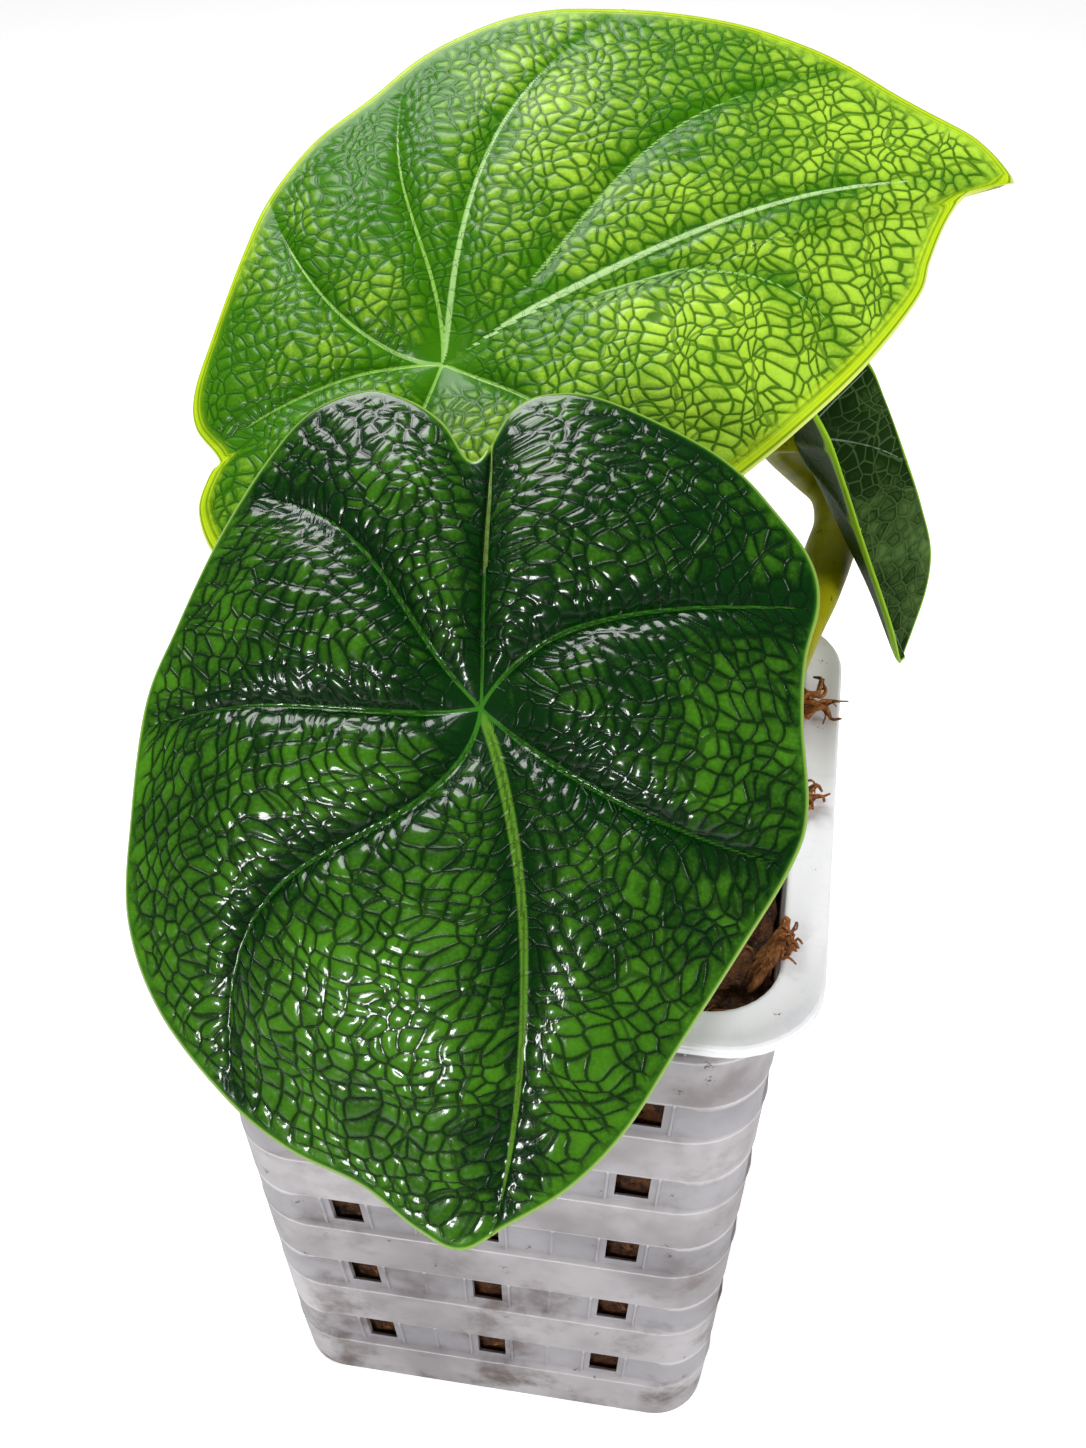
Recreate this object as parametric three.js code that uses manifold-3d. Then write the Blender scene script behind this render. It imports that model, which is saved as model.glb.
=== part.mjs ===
// A young shield-leaved aroid in a slim square slotted pot: pot, growing medium,
// crown, three petioles and three thick quilted blades. Millimetres, +Z up, origin
// at the centre of the pot's underside, the pot's front wall facing -Y.
import * as THREE from "three";
import { mergeVertices } from "three/addons/utils/BufferGeometryUtils.js";
import Module from "manifold-3d";

const wasm = await Module();
wasm.setup();

// Driving dimensions of the pot
const POT_HEIGHT = 120;
const BASE_HALF = 37.4;
const TOP_HALF = 44;
const BASE_CORNER = 9;
const TOP_CORNER = 12;
const WALL = 1.8;
const FLOOR = 2.2;
const RIM_HALF = 48.5;
const RIM_CORNER = 14;
const RIM_THICK = 1.2;
const LIP_DROP = 2;
const LIP_WIDTH = 1.2;

// Slotted bands that run round the pot
const ROWS = 6;
const FIRST_ROW = 16.8;
const ROW_PITCH = 19.6;
const RECESS_TALL = 8.6;
const RECESS_DEEP = 0.8;
const SLOT_WIDE = 5;
const SLOT_TALL = 5.2;
const COLUMN_PITCH_LOW = 19;
const COLUMN_PITCH_HIGH = 27;
const DRAIN_SIDE = 5;
const DRAIN_SPREAD = 19;

// Gap kept between pieces that touch
const GAP = 0.35;

// Growing medium and its loose fibres
const MEDIUM_TOP = 114.5;
const MEDIUM_LUMP = 1.3;
const STRAND_RADIUS = 0.65;
const STRAND_SIDES = 4;
const STRAND_STEPS = 6;

// Crown that the petioles grow from
const CROWN_AT = [32.3, 15.2];
const CROWN_RADIUS = 8;
const CROWN_TOP = 116;
const CROWN_DEEP = 20;

// Petioles
const PETIOLE_SIDES = 10;
const PETIOLE_STEPS = 26;
const PETIOLE_FOOT = 2.7;
const PETIOLE_HEAD = 1.9;
const SHEATH_SWELL = 1.2;

// Blades
const BLADE_THICK = 1.2;
const MARGIN_THICK = 0.8;
const QUILT_HIGH = 0.42;
const QUILT_PITCH = 7.5;

const degrees = THREE.MathUtils.degToRad;

// Small helpers

function material(name, color, roughness) {
  return new THREE.MeshStandardMaterial({ name, color, roughness, metalness: 0 });
}

function makeRandom(seed) {
  let state = seed;
  return () => {
    state = (state * 1664525 + 1013904223) % 4294967296;
    return state / 4294967296;
  };
}

function toSolid(geometry) {
  const bare = geometry.clone();
  bare.deleteAttribute("normal");
  bare.deleteAttribute("uv");
  const merged = mergeVertices(bare, 1e-4);
  return new wasm.Manifold(new wasm.Mesh({
    numProp: 3,
    vertProperties: new Float32Array(merged.attributes.position.array),
    triVerts: new Uint32Array(merged.index.array),
  }));
}

function toGeometry(solid) {
  const mesh = solid.getMesh();
  const geometry = new THREE.BufferGeometry();
  geometry.setAttribute("position", new THREE.BufferAttribute(mesh.vertProperties, 3));
  geometry.setIndex(new THREE.BufferAttribute(mesh.triVerts, 1));
  geometry.computeVertexNormals();
  return geometry;
}

// Closed solid through a stack of rings that all have the same number of points,
// each ring running anticlockwise seen from the far end of the stack.
function loft(rings) {
  const count = rings[0].length;
  const points = rings.flat();
  const faces = [];
  for (let ring = 0; ring + 1 < rings.length; ring += 1) {
    for (let i = 0; i < count; i += 1) {
      const a = ring * count + i;
      const b = ring * count + (i + 1) % count;
      faces.push(a, b, b + count, a, b + count, a + count);
    }
  }
  for (const [start, flip] of [[0, true], [(rings.length - 1) * count, false]]) {
    const middle = new THREE.Vector3();
    for (let i = 0; i < count; i += 1) {
      middle.addScaledVector(points[start + i], 1 / count);
    }
    const centre = points.push(middle) - 1;
    for (let i = 0; i < count; i += 1) {
      const a = start + i;
      const b = start + (i + 1) % count;
      faces.push(...(flip ? [centre, b, a] : [centre, a, b]));
    }
  }
  const geometry = new THREE.BufferGeometry().setFromPoints(points);
  geometry.setIndex(faces);
  return geometry;
}

function roundedSquare(half, corner, z, steps = 5) {
  const ring = [];
  for (let quarter = 0; quarter < 4; quarter += 1) {
    const turn = quarter * Math.PI / 2;
    for (let i = 0; i <= steps; i += 1) {
      const angle = turn + i / steps * Math.PI / 2;
      const middle = turn + Math.PI / 4;
      const reach = (half - corner) * Math.SQRT2;
      ring.push(new THREE.Vector3(
        reach * Math.cos(middle) + corner * Math.cos(angle),
        reach * Math.sin(middle) + corner * Math.sin(angle),
        z,
      ));
    }
  }
  return ring;
}

// Pot

function wallHalf(z) {
  return THREE.MathUtils.lerp(BASE_HALF, TOP_HALF, z / POT_HEIGHT);
}

function cornerRadius(z) {
  return THREE.MathUtils.lerp(BASE_CORNER, TOP_CORNER, z / POT_HEIGHT);
}

function rowHeight(row) {
  return FIRST_ROW + row * ROW_PITCH;
}

function potOutside() {
  const edge = 1.2;
  const rings = [
    roundedSquare(BASE_HALF - edge, BASE_CORNER - edge, 0),
    roundedSquare(wallHalf(edge), cornerRadius(edge), edge),
  ];
  const top = POT_HEIGHT - RIM_THICK;
  for (let row = 0; row < ROWS; row += 1) {
    const low = rowHeight(row) - RECESS_TALL / 2;
    const high = Math.min(rowHeight(row) + RECESS_TALL / 2, top - 0.5);
    const steps = [[low, 0], [low + 0.3, RECESS_DEEP], [high - 1.4, RECESS_DEEP], [high, 0]];
    for (const [z, inset] of steps) {
      rings.push(roundedSquare(wallHalf(z) - inset, cornerRadius(z) - inset, z));
    }
  }
  rings.push(roundedSquare(wallHalf(top), TOP_CORNER, POT_HEIGHT - 0.4));
  return toSolid(loft(rings));
}

function rimFlange() {
  const under = POT_HEIGHT - LIP_DROP;
  const rings = [
    roundedSquare(RIM_HALF - 0.3, RIM_CORNER, under),
    roundedSquare(RIM_HALF, RIM_CORNER, under + 0.3),
    roundedSquare(RIM_HALF, RIM_CORNER, POT_HEIGHT - 0.3),
    roundedSquare(RIM_HALF - 0.3, RIM_CORNER, POT_HEIGHT),
  ];
  const hollowHalf = RIM_HALF - LIP_WIDTH;
  const hollow = loft([
    roundedSquare(hollowHalf, RIM_CORNER - LIP_WIDTH, under - 1),
    roundedSquare(hollowHalf, RIM_CORNER - LIP_WIDTH, POT_HEIGHT - RIM_THICK),
  ]);
  return toSolid(loft(rings)).subtract(toSolid(hollow));
}

function slotCutters() {
  const cutters = [];
  for (let side = 0; side < 4; side += 1) {
    for (let row = 0; row < ROWS; row += 1) {
      const z = rowHeight(row);
      const pitch = THREE.MathUtils.lerp(COLUMN_PITCH_LOW, COLUMN_PITCH_HIGH, z / POT_HEIGHT);
      for (const column of [-1, 0, 1]) {
        const box = new THREE.BoxGeometry(SLOT_WIDE, 4 * WALL, SLOT_TALL);
        box.translate(column * pitch, -wallHalf(z), z);
        box.rotateZ(side * Math.PI / 2);
        cutters.push(toSolid(box));
      }
    }
  }
  return cutters;
}

function drainCutters() {
  const cutters = [];
  for (const x of [-1, 0, 1]) {
    for (const y of [-1, 0, 1]) {
      if (x !== 0 || y !== 0) {
        const box = new THREE.BoxGeometry(DRAIN_SIDE, DRAIN_SIDE, 4 * FLOOR);
        box.translate(x * DRAIN_SPREAD, y * DRAIN_SPREAD, 0);
        cutters.push(toSolid(box));
      }
    }
  }
  return cutters;
}

// The room inside the walls, shrunk by a clearance where the medium fills it.
function cavity(clearance, top) {
  const rings = [];
  for (const z of [FLOOR + clearance, top]) {
    const inset = WALL + clearance;
    rings.push(roundedSquare(wallHalf(z) - inset, cornerRadius(z) - inset, z));
  }
  return rings;
}

function potGeometry() {
  let pot = potOutside().add(rimFlange());
  pot = pot.subtract(toSolid(loft(cavity(0, POT_HEIGHT + 1))));
  return toGeometry(pot.subtract(wasm.Manifold.union([...slotCutters(), ...drainCutters()])));
}

// Stems

function taperedStem(points, foot, head, sides, steps, swell = 0) {
  const curve = new THREE.CatmullRomCurve3(points.map((p) => new THREE.Vector3(...p)));
  const frames = curve.computeFrenetFrames(steps);
  const rings = [];
  for (let step = 0; step <= steps; step += 1) {
    const middle = curve.getPointAt(step / steps);
    const share = step / steps;
    const radius = THREE.MathUtils.lerp(foot, head, share) + swell * Math.sin(Math.PI * share) ** 2;
    const ring = [];
    for (let side = 0; side < sides; side += 1) {
      const angle = side / sides * 2 * Math.PI;
      ring.push(middle.clone()
        .addScaledVector(frames.normals[step], radius * Math.cos(angle))
        .addScaledVector(frames.binormals[step], radius * Math.sin(angle)));
    }
    rings.push(ring);
  }
  return loft(rings);
}

function crownGeometry(grow) {
  const profile = [
    [0, -CROWN_DEEP - grow],
    [0.5 * CROWN_RADIUS + grow, -CROWN_DEEP - grow],
    [CROWN_RADIUS + grow, -0.6 * CROWN_DEEP],
    [CROWN_RADIUS + grow, -1.2],
    [CROWN_RADIUS - 0.8 + grow, grow],
    [0, grow],
  ];
  const geometry = new THREE.LatheGeometry(profile.map((p) => new THREE.Vector2(...p)), 20);
  geometry.rotateX(Math.PI / 2);
  geometry.translate(CROWN_AT[0], CROWN_AT[1], CROWN_TOP);
  return geometry;
}

// Growing medium

function mediumLump(x, y) {
  const coarse = Math.sin(0.31 * x + 0.4) * Math.cos(0.27 * y - 0.8);
  const fine = Math.sin(0.83 * x - 0.55 * y) * Math.cos(0.71 * y + 0.36 * x);
  return MEDIUM_LUMP * (0.6 * coarse + 0.5 * fine);
}

function mediumBody() {
  const rings = cavity(GAP, MEDIUM_TOP);
  const edge = rings[1];
  const layers = 7;
  for (let layer = 1; layer < layers; layer += 1) {
    const inward = 1 - layer / layers;
    rings.push(edge.map((p) => {
      const x = p.x * inward;
      const y = p.y * inward;
      return new THREE.Vector3(x, y, MEDIUM_TOP + mediumLump(x, y));
    }));
  }
  return toSolid(loft(rings));
}

// Strands of fibre that start in the medium by a wall and lie over the rim.
function fibreStrands() {
  const random = makeRandom(7);
  const spread = (size) => (random() - 0.5) * size;
  const clumps = [
    { side: 0, along: 28, count: 6, reach: 9 },
    { side: 0, along: -2, count: 4, reach: 7 },
    { side: 0, along: -31, count: 4, reach: 4 },
    { side: 2, along: 8, count: 4, reach: 6 },
    { side: 1, along: 12, count: 3, reach: 5 },
  ];
  const strands = [];
  for (const clump of clumps) {
    for (let i = 0; i < clump.count; i += 1) {
      const along = clump.along + spread(7);
      const lift = POT_HEIGHT + GAP + STRAND_RADIUS + 0.3;
      const inner = wallHalf(POT_HEIGHT) - WALL;
      const points = [
        [inner - 5, along, MEDIUM_TOP - 5],
        [inner - 3.5 + spread(1), along + spread(2), MEDIUM_TOP + 2],
        [inner - 1.2, along + spread(3), lift + 0.4],
        [inner + 0.5 * clump.reach, along + spread(5), lift + 1 + random()],
        [inner + clump.reach, along + spread(8), lift + 2 * random()],
      ];
      const strand = taperedStem(points, STRAND_RADIUS, STRAND_RADIUS, STRAND_SIDES, STRAND_STEPS);
      strand.rotateZ(clump.side * Math.PI / 2);
      strands.push(toSolid(strand));
    }
  }
  return strands;
}

function mediumGeometry() {
  const body = mediumBody().add(wasm.Manifold.union(fibreStrands()));
  return toGeometry(body.subtract(toSolid(crownGeometry(GAP))));
}

// Blades

// A leaf is drawn in its own frame: u across, v towards the tip, height along the
// upper side's normal. The blade leans over by `lean` from level, its upper side
// faces the compass turn `heading` (0 is -Y), and its tip is turned by `turn`.
// Veins are [angle at the hub, angle at the margin, bow between them], 0 pointing at the tip.
const FRONT_LEAF = {
  hub: [1.1, -31.4, 159.7],
  lean: 38,
  heading: 0,
  turn: 5.6,
  cells: 28,
  funnelDeep: 3,
  funnelWide: 9,
  panelHigh: 2.6,
  droopSides: 3,
  droopTip: 1.5,
  archAcross: 0.0012,
  archAlong: 0.0005,
  fold: 0,
  foldSkew: 0,
  veins: [[-23, -3, 0], [5, 30, 28], [80, 87, 6], [134, 131, 10], [180, 180, 0], [-155, -108, 10],
    [-48, -64, 0]],
  outline: [
    [2, -33], [6.6, -38.6], [11.5, -42], [17.5, -43.5], [25, -40.5], [31, -33], [36.5, -23],
    [41.5, -11], [45, -1], [46, 14], [45.5, 27], [40.5, 38.5], [31, 49], [22.5, 55], [13, 59],
    [6, 63.8], [0.5, 66], [-5, 63], [-12.5, 58.3], [-19.2, 51.3], [-25.6, 41], [-32.7, 29.6],
    [-39, 19], [-41, 12], [-40.4, 1], [-40.8, -7], [-42.5, -14.5], [-41.2, -20.5], [-36.5, -27],
    [-32, -32], [-26, -36.2], [-15, -41.5], [-8.5, -42.5], [-3, -40.5],
  ],
};

const BACK_LEAF = {
  hub: [-16.8, 30.7, 174],
  lean: 38,
  heading: 0,
  turn: 112.8,
  cells: 28,
  funnelDeep: 3,
  funnelWide: 10,
  panelHigh: 2.2,
  droopSides: 2.5,
  droopTip: 0.5,
  archAcross: 0.0006,
  archAlong: 0.0005,
  fold: 0,
  foldSkew: 0,
  veins: [[-11, -2, -4], [-6, 20, -9], [40, 50, 0], [125, 125, 0], [196, 177, -4], [-160, -118, 3],
    [-72, -82, -9], [-66, -50, -6], [-16, -22, -12]],
  outline: [
    [4.2, -36.5], [-1.9, -38.8], [-7.6, -37.8], [-15.5, -33.2], [-27.6, -25.5], [-36, -19.2],
    [-43.5, -10], [-48.2, 0.5], [-53, 10.5], [-55.2, 22], [-54.8, 30.5], [-52.5, 38.5],
    [-48, 49.5], [-42, 60], [-35, 68.5], [-29.5, 73.6], [-22.5, 79], [-16.5, 84], [-9.5, 89],
    [-3.5, 91.5], [-2, 85], [1.5, 77], [11, 70], [19, 60], [26, 47], [30.5, 37], [35.5, 25],
    [39, 11], [39.5, -4], [36, -19], [29, -32], [20, -40], [11.5, -41.5], [6, -38.5],
  ],
};

const SIDE_LEAF = {
  hub: [38.3, 47, 156.2],
  lean: 63,
  heading: 68.2,
  turn: 6.1,
  cells: 16,
  funnelDeep: 0.8,
  funnelWide: 5,
  panelHigh: 0.9,
  droopSides: 0.6,
  droopTip: 0.4,
  archAcross: 0,
  archAlong: -0.0004,
  fold: 0.98,
  foldSkew: 0.23,
  veins: [[0, 0, 0], [55, 42, 0], [110, 105, 0], [180, 180, 0], [-110, -105, 0], [-55, -42, 0]],
  outline: [
    [0, -10], [3, -13.5], [7, -14], [11, -11.5], [13.3, -5.5], [12.6, 2], [11.6, 10],
    [10, 19], [8.2, 29], [5.6, 38], [0.8, 45], [-6.5, 39.5], [-11.2, 32], [-12.8, 23],
    [-13.5, 13], [-13.7, 3], [-13.2, -5], [-9.5, -10.5], [-5, -14.5], [-2, -13],
  ],
};

function leafFrame(leaf) {
  const lean = degrees(leaf.lean);
  const heading = degrees(leaf.heading);
  const turn = degrees(leaf.turn);
  const level = new THREE.Vector3(Math.cos(heading), Math.sin(heading), 0);
  const normal = new THREE.Vector3(
    Math.sin(lean) * Math.sin(heading),
    -Math.sin(lean) * Math.cos(heading),
    Math.cos(lean),
  );
  const down = new THREE.Vector3().crossVectors(level, normal);
  const along = down.multiplyScalar(Math.cos(turn)).addScaledVector(level, Math.sin(turn));
  const across = new THREE.Vector3().crossVectors(along, normal);
  return { hub: new THREE.Vector3(...leaf.hub), across, along, normal };
}

// Distance from the hub to the margin as a function of the angle from the tip.
function marginReach(outline) {
  const knots = outline.map(([u, v]) => new THREE.Vector3(u, v, 0));
  const curve = new THREE.CatmullRomCurve3(knots, true, "catmullrom", 0.5);
  const table = curve.getPoints(12 * outline.length).map((p) => [Math.atan2(p.x, p.y), p.length()]);
  table.sort((a, b) => a[0] - b[0]);
  const first = table[0];
  const last = table[table.length - 1];
  table.unshift([last[0] - 2 * Math.PI, last[1]]);
  table.push([first[0] + 2 * Math.PI, first[1]]);
  return (angle) => {
    const next = table.findIndex((entry) => entry[0] > angle);
    const [a0, r0] = table[next - 1];
    const [a1, r1] = table[next];
    return THREE.MathUtils.mapLinear(angle, a0, a1, r0, r1);
  };
}

// Convex panels between the sunken main veins.
function panelShape(leaf, angle, share) {
  const turn = THREE.MathUtils.radToDeg(angle);
  const creases = leaf.veins.flatMap(([from, to, bow]) => {
    const crease = THREE.MathUtils.lerp(from, to, share) + bow * Math.sin(Math.PI * share);
    return [crease - 360, crease, crease + 360];
  });
  creases.sort((a, b) => a - b);
  const next = creases.findIndex((crease) => crease > turn);
  const width = creases[next] - creases[next - 1];
  const place = (turn - creases[next - 1]) / width;
  const swell = Math.sin(Math.PI * place) ** 0.75 * Math.min(width / 60, 1.2);
  return 1.7 * swell * share ** 0.9 * Math.max(0, 1 - share ** 3);
}

function quilt(u, v, share) {
  const across = 0.87 * u + 0.5 * v + 1.4 * Math.sin(0.13 * v);
  const along = 0.87 * v - 0.5 * u + 1.4 * Math.sin(0.15 * u);
  const dome = Math.abs(Math.sin(Math.PI * across / QUILT_PITCH) * Math.sin(Math.PI * along / QUILT_PITCH));
  const calm = THREE.MathUtils.smoothstep(share, 0.08, 0.25) * (1 - THREE.MathUtils.smoothstep(share, 0.86, 0.97));
  return QUILT_HIGH * (Math.sqrt(dome) - 0.5) * calm;
}

function bladeHeight(leaf, reach, u, v) {
  const angle = Math.atan2(u, v);
  const radius = Math.hypot(u, v);
  const share = Math.min(radius / reach(angle), 1);
  const funnel = -leaf.funnelDeep * Math.exp(-((radius / leaf.funnelWide) ** 2));
  const droop = -(leaf.droopSides + leaf.droopTip * Math.cos(angle))
    * THREE.MathUtils.smoothstep(share, 0.55, 1) ** 1.5;
  const arch = -leaf.archAcross * u * u - leaf.archAlong * v * v;
  const fold = leaf.fold * (Math.hypot(u, 3) - 3) * (1 + leaf.foldSkew * u / Math.hypot(u, 3));
  return leaf.panelHigh * panelShape(leaf, angle, share) + funnel + droop + arch + fold
    + quilt(u, v, share);
}

// Even spread of a square grid over a disc: returns [share of the radius, angle].
function discPlace(a, b) {
  if (a === 0 && b === 0) {
    return [0, 0];
  }
  if (Math.abs(a) > Math.abs(b)) {
    return [Math.abs(a), Math.PI / 4 * b / a + (a < 0 ? Math.PI : 0)];
  }
  return [Math.abs(b), Math.PI / 2 - Math.PI / 4 * a / b + (b < 0 ? Math.PI : 0)];
}

function bladeGeometry(leaf) {
  const frame = leafFrame(leaf);
  const reach = marginReach(leaf.outline);
  const cells = leaf.cells;
  const toPoint = (u, v) => frame.hub.clone()
    .addScaledVector(frame.across, u)
    .addScaledVector(frame.along, v)
    .addScaledVector(frame.normal, bladeHeight(leaf, reach, u, v));
  const upper = [];
  const lower = [];
  for (let row = 0; row <= cells; row += 1) {
    for (let column = 0; column <= cells; column += 1) {
      const [share, place] = discPlace(2 * column / cells - 1, 2 * row / cells - 1);
      const angle = Math.atan2(Math.sin(place), Math.cos(place));
      const radius = share * reach(angle);
      const u = radius * Math.sin(angle);
      const v = radius * Math.cos(angle);
      const middle = toPoint(u, v);
      const step = 0.5;
      const slopeU = toPoint(u + step, v).sub(toPoint(u - step, v));
      const slopeV = toPoint(u, v + step).sub(toPoint(u, v - step));
      const out = new THREE.Vector3().crossVectors(slopeU, slopeV).normalize();
      out.lerp(frame.normal, 0.35).normalize();
      const half = THREE.MathUtils.lerp(BLADE_THICK, MARGIN_THICK, share) / 2;
      upper.push(middle.clone().addScaledVector(out, half));
      lower.push(middle.clone().addScaledVector(out, -half));
    }
  }
  return skinGeometry(upper, lower, cells);
}

// Joins two square grids of points into one closed sheet, split alike on both faces.
function skinGeometry(upper, lower, cells) {
  const width = cells + 1;
  const under = upper.length;
  const faces = [];
  for (let row = 0; row < cells; row += 1) {
    for (let column = 0; column < cells; column += 1) {
      const a = row * width + column;
      const b = a + 1;
      const c = a + width;
      const d = c + 1;
      const falling = (row < cells / 2) === (column < cells / 2);
      const pair = falling ? [[a, b, d], [a, d, c]] : [[a, b, c], [b, d, c]];
      for (const [p, q, r] of pair) {
        faces.push(p, r, q, under + p, under + q, under + r);
      }
    }
  }
  const border = [];
  for (let i = 0; i < cells; i += 1) {
    border.push([i, i + 1]);
    border.push([i * width + cells, (i + 1) * width + cells]);
    border.push([cells * width + cells - i, cells * width + cells - i - 1]);
    border.push([(cells - i) * width, (cells - i - 1) * width]);
  }
  for (const [p, q] of border) {
    faces.push(p, q, under + q, p, under + q, under + p);
  }
  const geometry = new THREE.BufferGeometry().setFromPoints([...upper, ...lower]);
  geometry.setIndex(faces);
  return geometry;
}

// Petiole from its foot on the crown to the hub under a blade, met along the normal.
// The side one is wrapped by a sheath that swells its middle.
function petioleGeometry(route, leaf, swell = 0) {
  const frame = leafFrame(leaf);
  const under = leaf.funnelDeep + BLADE_THICK / 2 + GAP;
  const end = frame.hub.clone().addScaledVector(frame.normal, -under);
  const before = end.clone().addScaledVector(frame.normal, -5);
  const [footX, footY, ...passed] = route;
  const footing = [0, 2].map((lift) => [footX, footY, CROWN_TOP + GAP + 0.1 + lift]);
  const points = [...footing, ...passed, before.toArray(), end.toArray()];
  return taperedStem(points, PETIOLE_FOOT, PETIOLE_HEAD, PETIOLE_SIDES, PETIOLE_STEPS, swell);
}

// Foot on the crown as x, y, then the points that the petiole passes.
const FRONT_ROUTE = [28.7, 13.2, [26.5, 8, 121], [16, -8, 135], [5.5, -19.5, 144.5]];
const BACK_ROUTE = [32, 19.5, [31, 22.5, 123], [26.5, 28, 136], [18, 34, 147.5], [6, 39, 156.5],
  [-8, 41, 161.5]];
const SIDE_ROUTE = [36.3, 13.7, [40.3, 28, 130.9], [42.6, 38.5, 132.4], [44.3, 48.5, 133],
  [45.4, 56, 134.7], [43.7, 61, 137.8], [38.9, 61.5, 141.5]];

// The object

const plant = new THREE.Group();

function place(name, geometry, finish) {
  const mesh = new THREE.Mesh(geometry, finish);
  mesh.name = name;
  plant.add(mesh);
}

const petioleFinish = material("petiole", 0x66700c, 0.5);

place("pot", potGeometry(), material("pot", 0xc3bebe, 0.35));
place("growing_medium", mediumGeometry(), material("medium", 0x4b2d18, 0.95));
place("crown", crownGeometry(0), material("crown", 0x6a5a2c, 0.8));
place("petiole_front", petioleGeometry(FRONT_ROUTE, FRONT_LEAF), petioleFinish);
place("petiole_back", petioleGeometry(BACK_ROUTE, BACK_LEAF), petioleFinish);
place("petiole_side", petioleGeometry(SIDE_ROUTE, SIDE_LEAF, SHEATH_SWELL), petioleFinish);
place("blade_front", bladeGeometry(FRONT_LEAF), material("blade_dark", 0x174a14, 0.3));
place("blade_back", bladeGeometry(BACK_LEAF), material("blade_lime", 0x77ac22, 0.4));
place("blade_side", bladeGeometry(SIDE_LEAF), material("blade_slate", 0x33473a, 0.55));

export default plant;
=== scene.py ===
"""Dressed model of a young shield-leaved aroid in a slim square slotted pot.

Sizes and places are in millimetres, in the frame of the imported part: +X to the right of
the pot's front wall, -Y towards the viewer, +Z up. Each piece is written in metres.
"""

import logging
import math
import random
from dataclasses import dataclass, field
from enum import Enum

import bmesh
import bpy
import numpy as np
from mathutils import Matrix, Vector

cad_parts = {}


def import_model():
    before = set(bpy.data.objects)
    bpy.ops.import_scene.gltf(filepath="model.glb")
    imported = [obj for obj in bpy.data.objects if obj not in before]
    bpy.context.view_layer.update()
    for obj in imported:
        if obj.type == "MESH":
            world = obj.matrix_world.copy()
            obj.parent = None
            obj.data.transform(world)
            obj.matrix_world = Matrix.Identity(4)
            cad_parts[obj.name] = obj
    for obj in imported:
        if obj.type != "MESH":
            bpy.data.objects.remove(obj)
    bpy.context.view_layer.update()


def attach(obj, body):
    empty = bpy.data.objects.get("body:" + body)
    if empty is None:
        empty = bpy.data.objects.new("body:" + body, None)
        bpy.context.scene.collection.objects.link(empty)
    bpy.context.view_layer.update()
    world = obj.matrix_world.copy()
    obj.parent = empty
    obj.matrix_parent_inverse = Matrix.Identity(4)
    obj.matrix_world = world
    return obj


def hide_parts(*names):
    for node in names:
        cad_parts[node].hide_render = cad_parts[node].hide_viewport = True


LOG = logging.getLogger("potted_plant")
MM = 0.001
BODY = "root"
UP = Vector((0.0, 0.0, 1.0))
QUARTER_TURNS = [Matrix.Rotation(k * math.pi / 2, 3, "Z") for k in range(4)]
KNOT_STEPS = 24


# Numbers and colours

def srgb(red: float, green: float, blue: float) -> tuple[float, float, float, float]:
    """Turn display values from 0 to 255 into a linear colour.

    Args:
        red: red value.
        green: green value.
        blue: blue value.

    Returns:
        The linear colour with full opacity.
    """
    linear = []
    for value in (red, green, blue):
        part = value / 255.0
        linear.append(part / 12.92 if part <= 0.04045 else ((part + 0.055) / 1.055) ** 2.4)
    return (*linear, 1.0)


def smoothstep(value: np.ndarray, low: float, high: float) -> np.ndarray:
    """Ease numbers from 0 at low to 1 at high."""
    part = np.clip((value - low) / (high - low), 0.0, 1.0)
    return part * part * (3.0 - 2.0 * part)


def waves(x: np.ndarray, y: np.ndarray, pitch: float, seed: int) -> np.ndarray:
    """Smooth irregular waves between about -1 and 1.

    Args:
        x: first coordinate.
        y: second coordinate.
        pitch: rough distance from crest to crest.
        seed: picks the pattern.

    Returns:
        Height of the waves at each place.
    """
    draw = random.Random(seed)
    total = np.zeros_like(x)
    count = 5
    for _ in range(count):
        turn = draw.uniform(0.0, math.tau)
        shift = draw.uniform(0.0, math.tau)
        rate = math.tau / (pitch * draw.uniform(0.75, 1.35))
        total = total + np.sin(rate * (x * math.cos(turn) + y * math.sin(turn)) + shift)
    return total / math.sqrt(2.0 * count)


# Pieces

def register(piece: bpy.types.Object, nodes: tuple[str, ...]) -> bpy.types.Object:
    """Tell the frame which body a piece rides on and what it replaces.

    Args:
        piece: finished object at the origin.
        nodes: CAD nodes that the piece stands for.

    Returns:
        The same object.
    """
    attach(piece, BODY)
    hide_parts(*nodes)
    LOG.info("%s: %d faces", piece.name, len(piece.data.polygons))
    return piece


def new_piece(
    name: str, mesh: bpy.types.Mesh, finish: bpy.types.Material, smooth: bool = True
) -> bpy.types.Object:
    """Put a mesh in the scene as an object at the origin.

    Args:
        name: the object's name.
        mesh: mesh in metres.
        finish: its material.
        smooth: whether its faces are shaded smooth.

    Returns:
        The new object.
    """
    mesh.name = name
    mesh.materials.clear()
    mesh.materials.append(finish)
    mesh.polygons.foreach_set("use_smooth", [smooth] * len(mesh.polygons))
    piece = bpy.data.objects.new(name, mesh)
    bpy.context.scene.collection.objects.link(piece)
    return piece


def mesh_from(shape: bmesh.types.BMesh, name: str) -> bpy.types.Mesh:
    """Write a millimetre bmesh into a new mesh in metres and free it.

    Args:
        shape: the bmesh.
        name: the mesh's name.

    Returns:
        The new mesh.
    """
    bmesh.ops.transform(shape, matrix=Matrix.Scale(MM, 4), verts=shape.verts)
    mesh = bpy.data.meshes.new(name)
    shape.to_mesh(mesh)
    shape.free()
    return mesh


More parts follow.
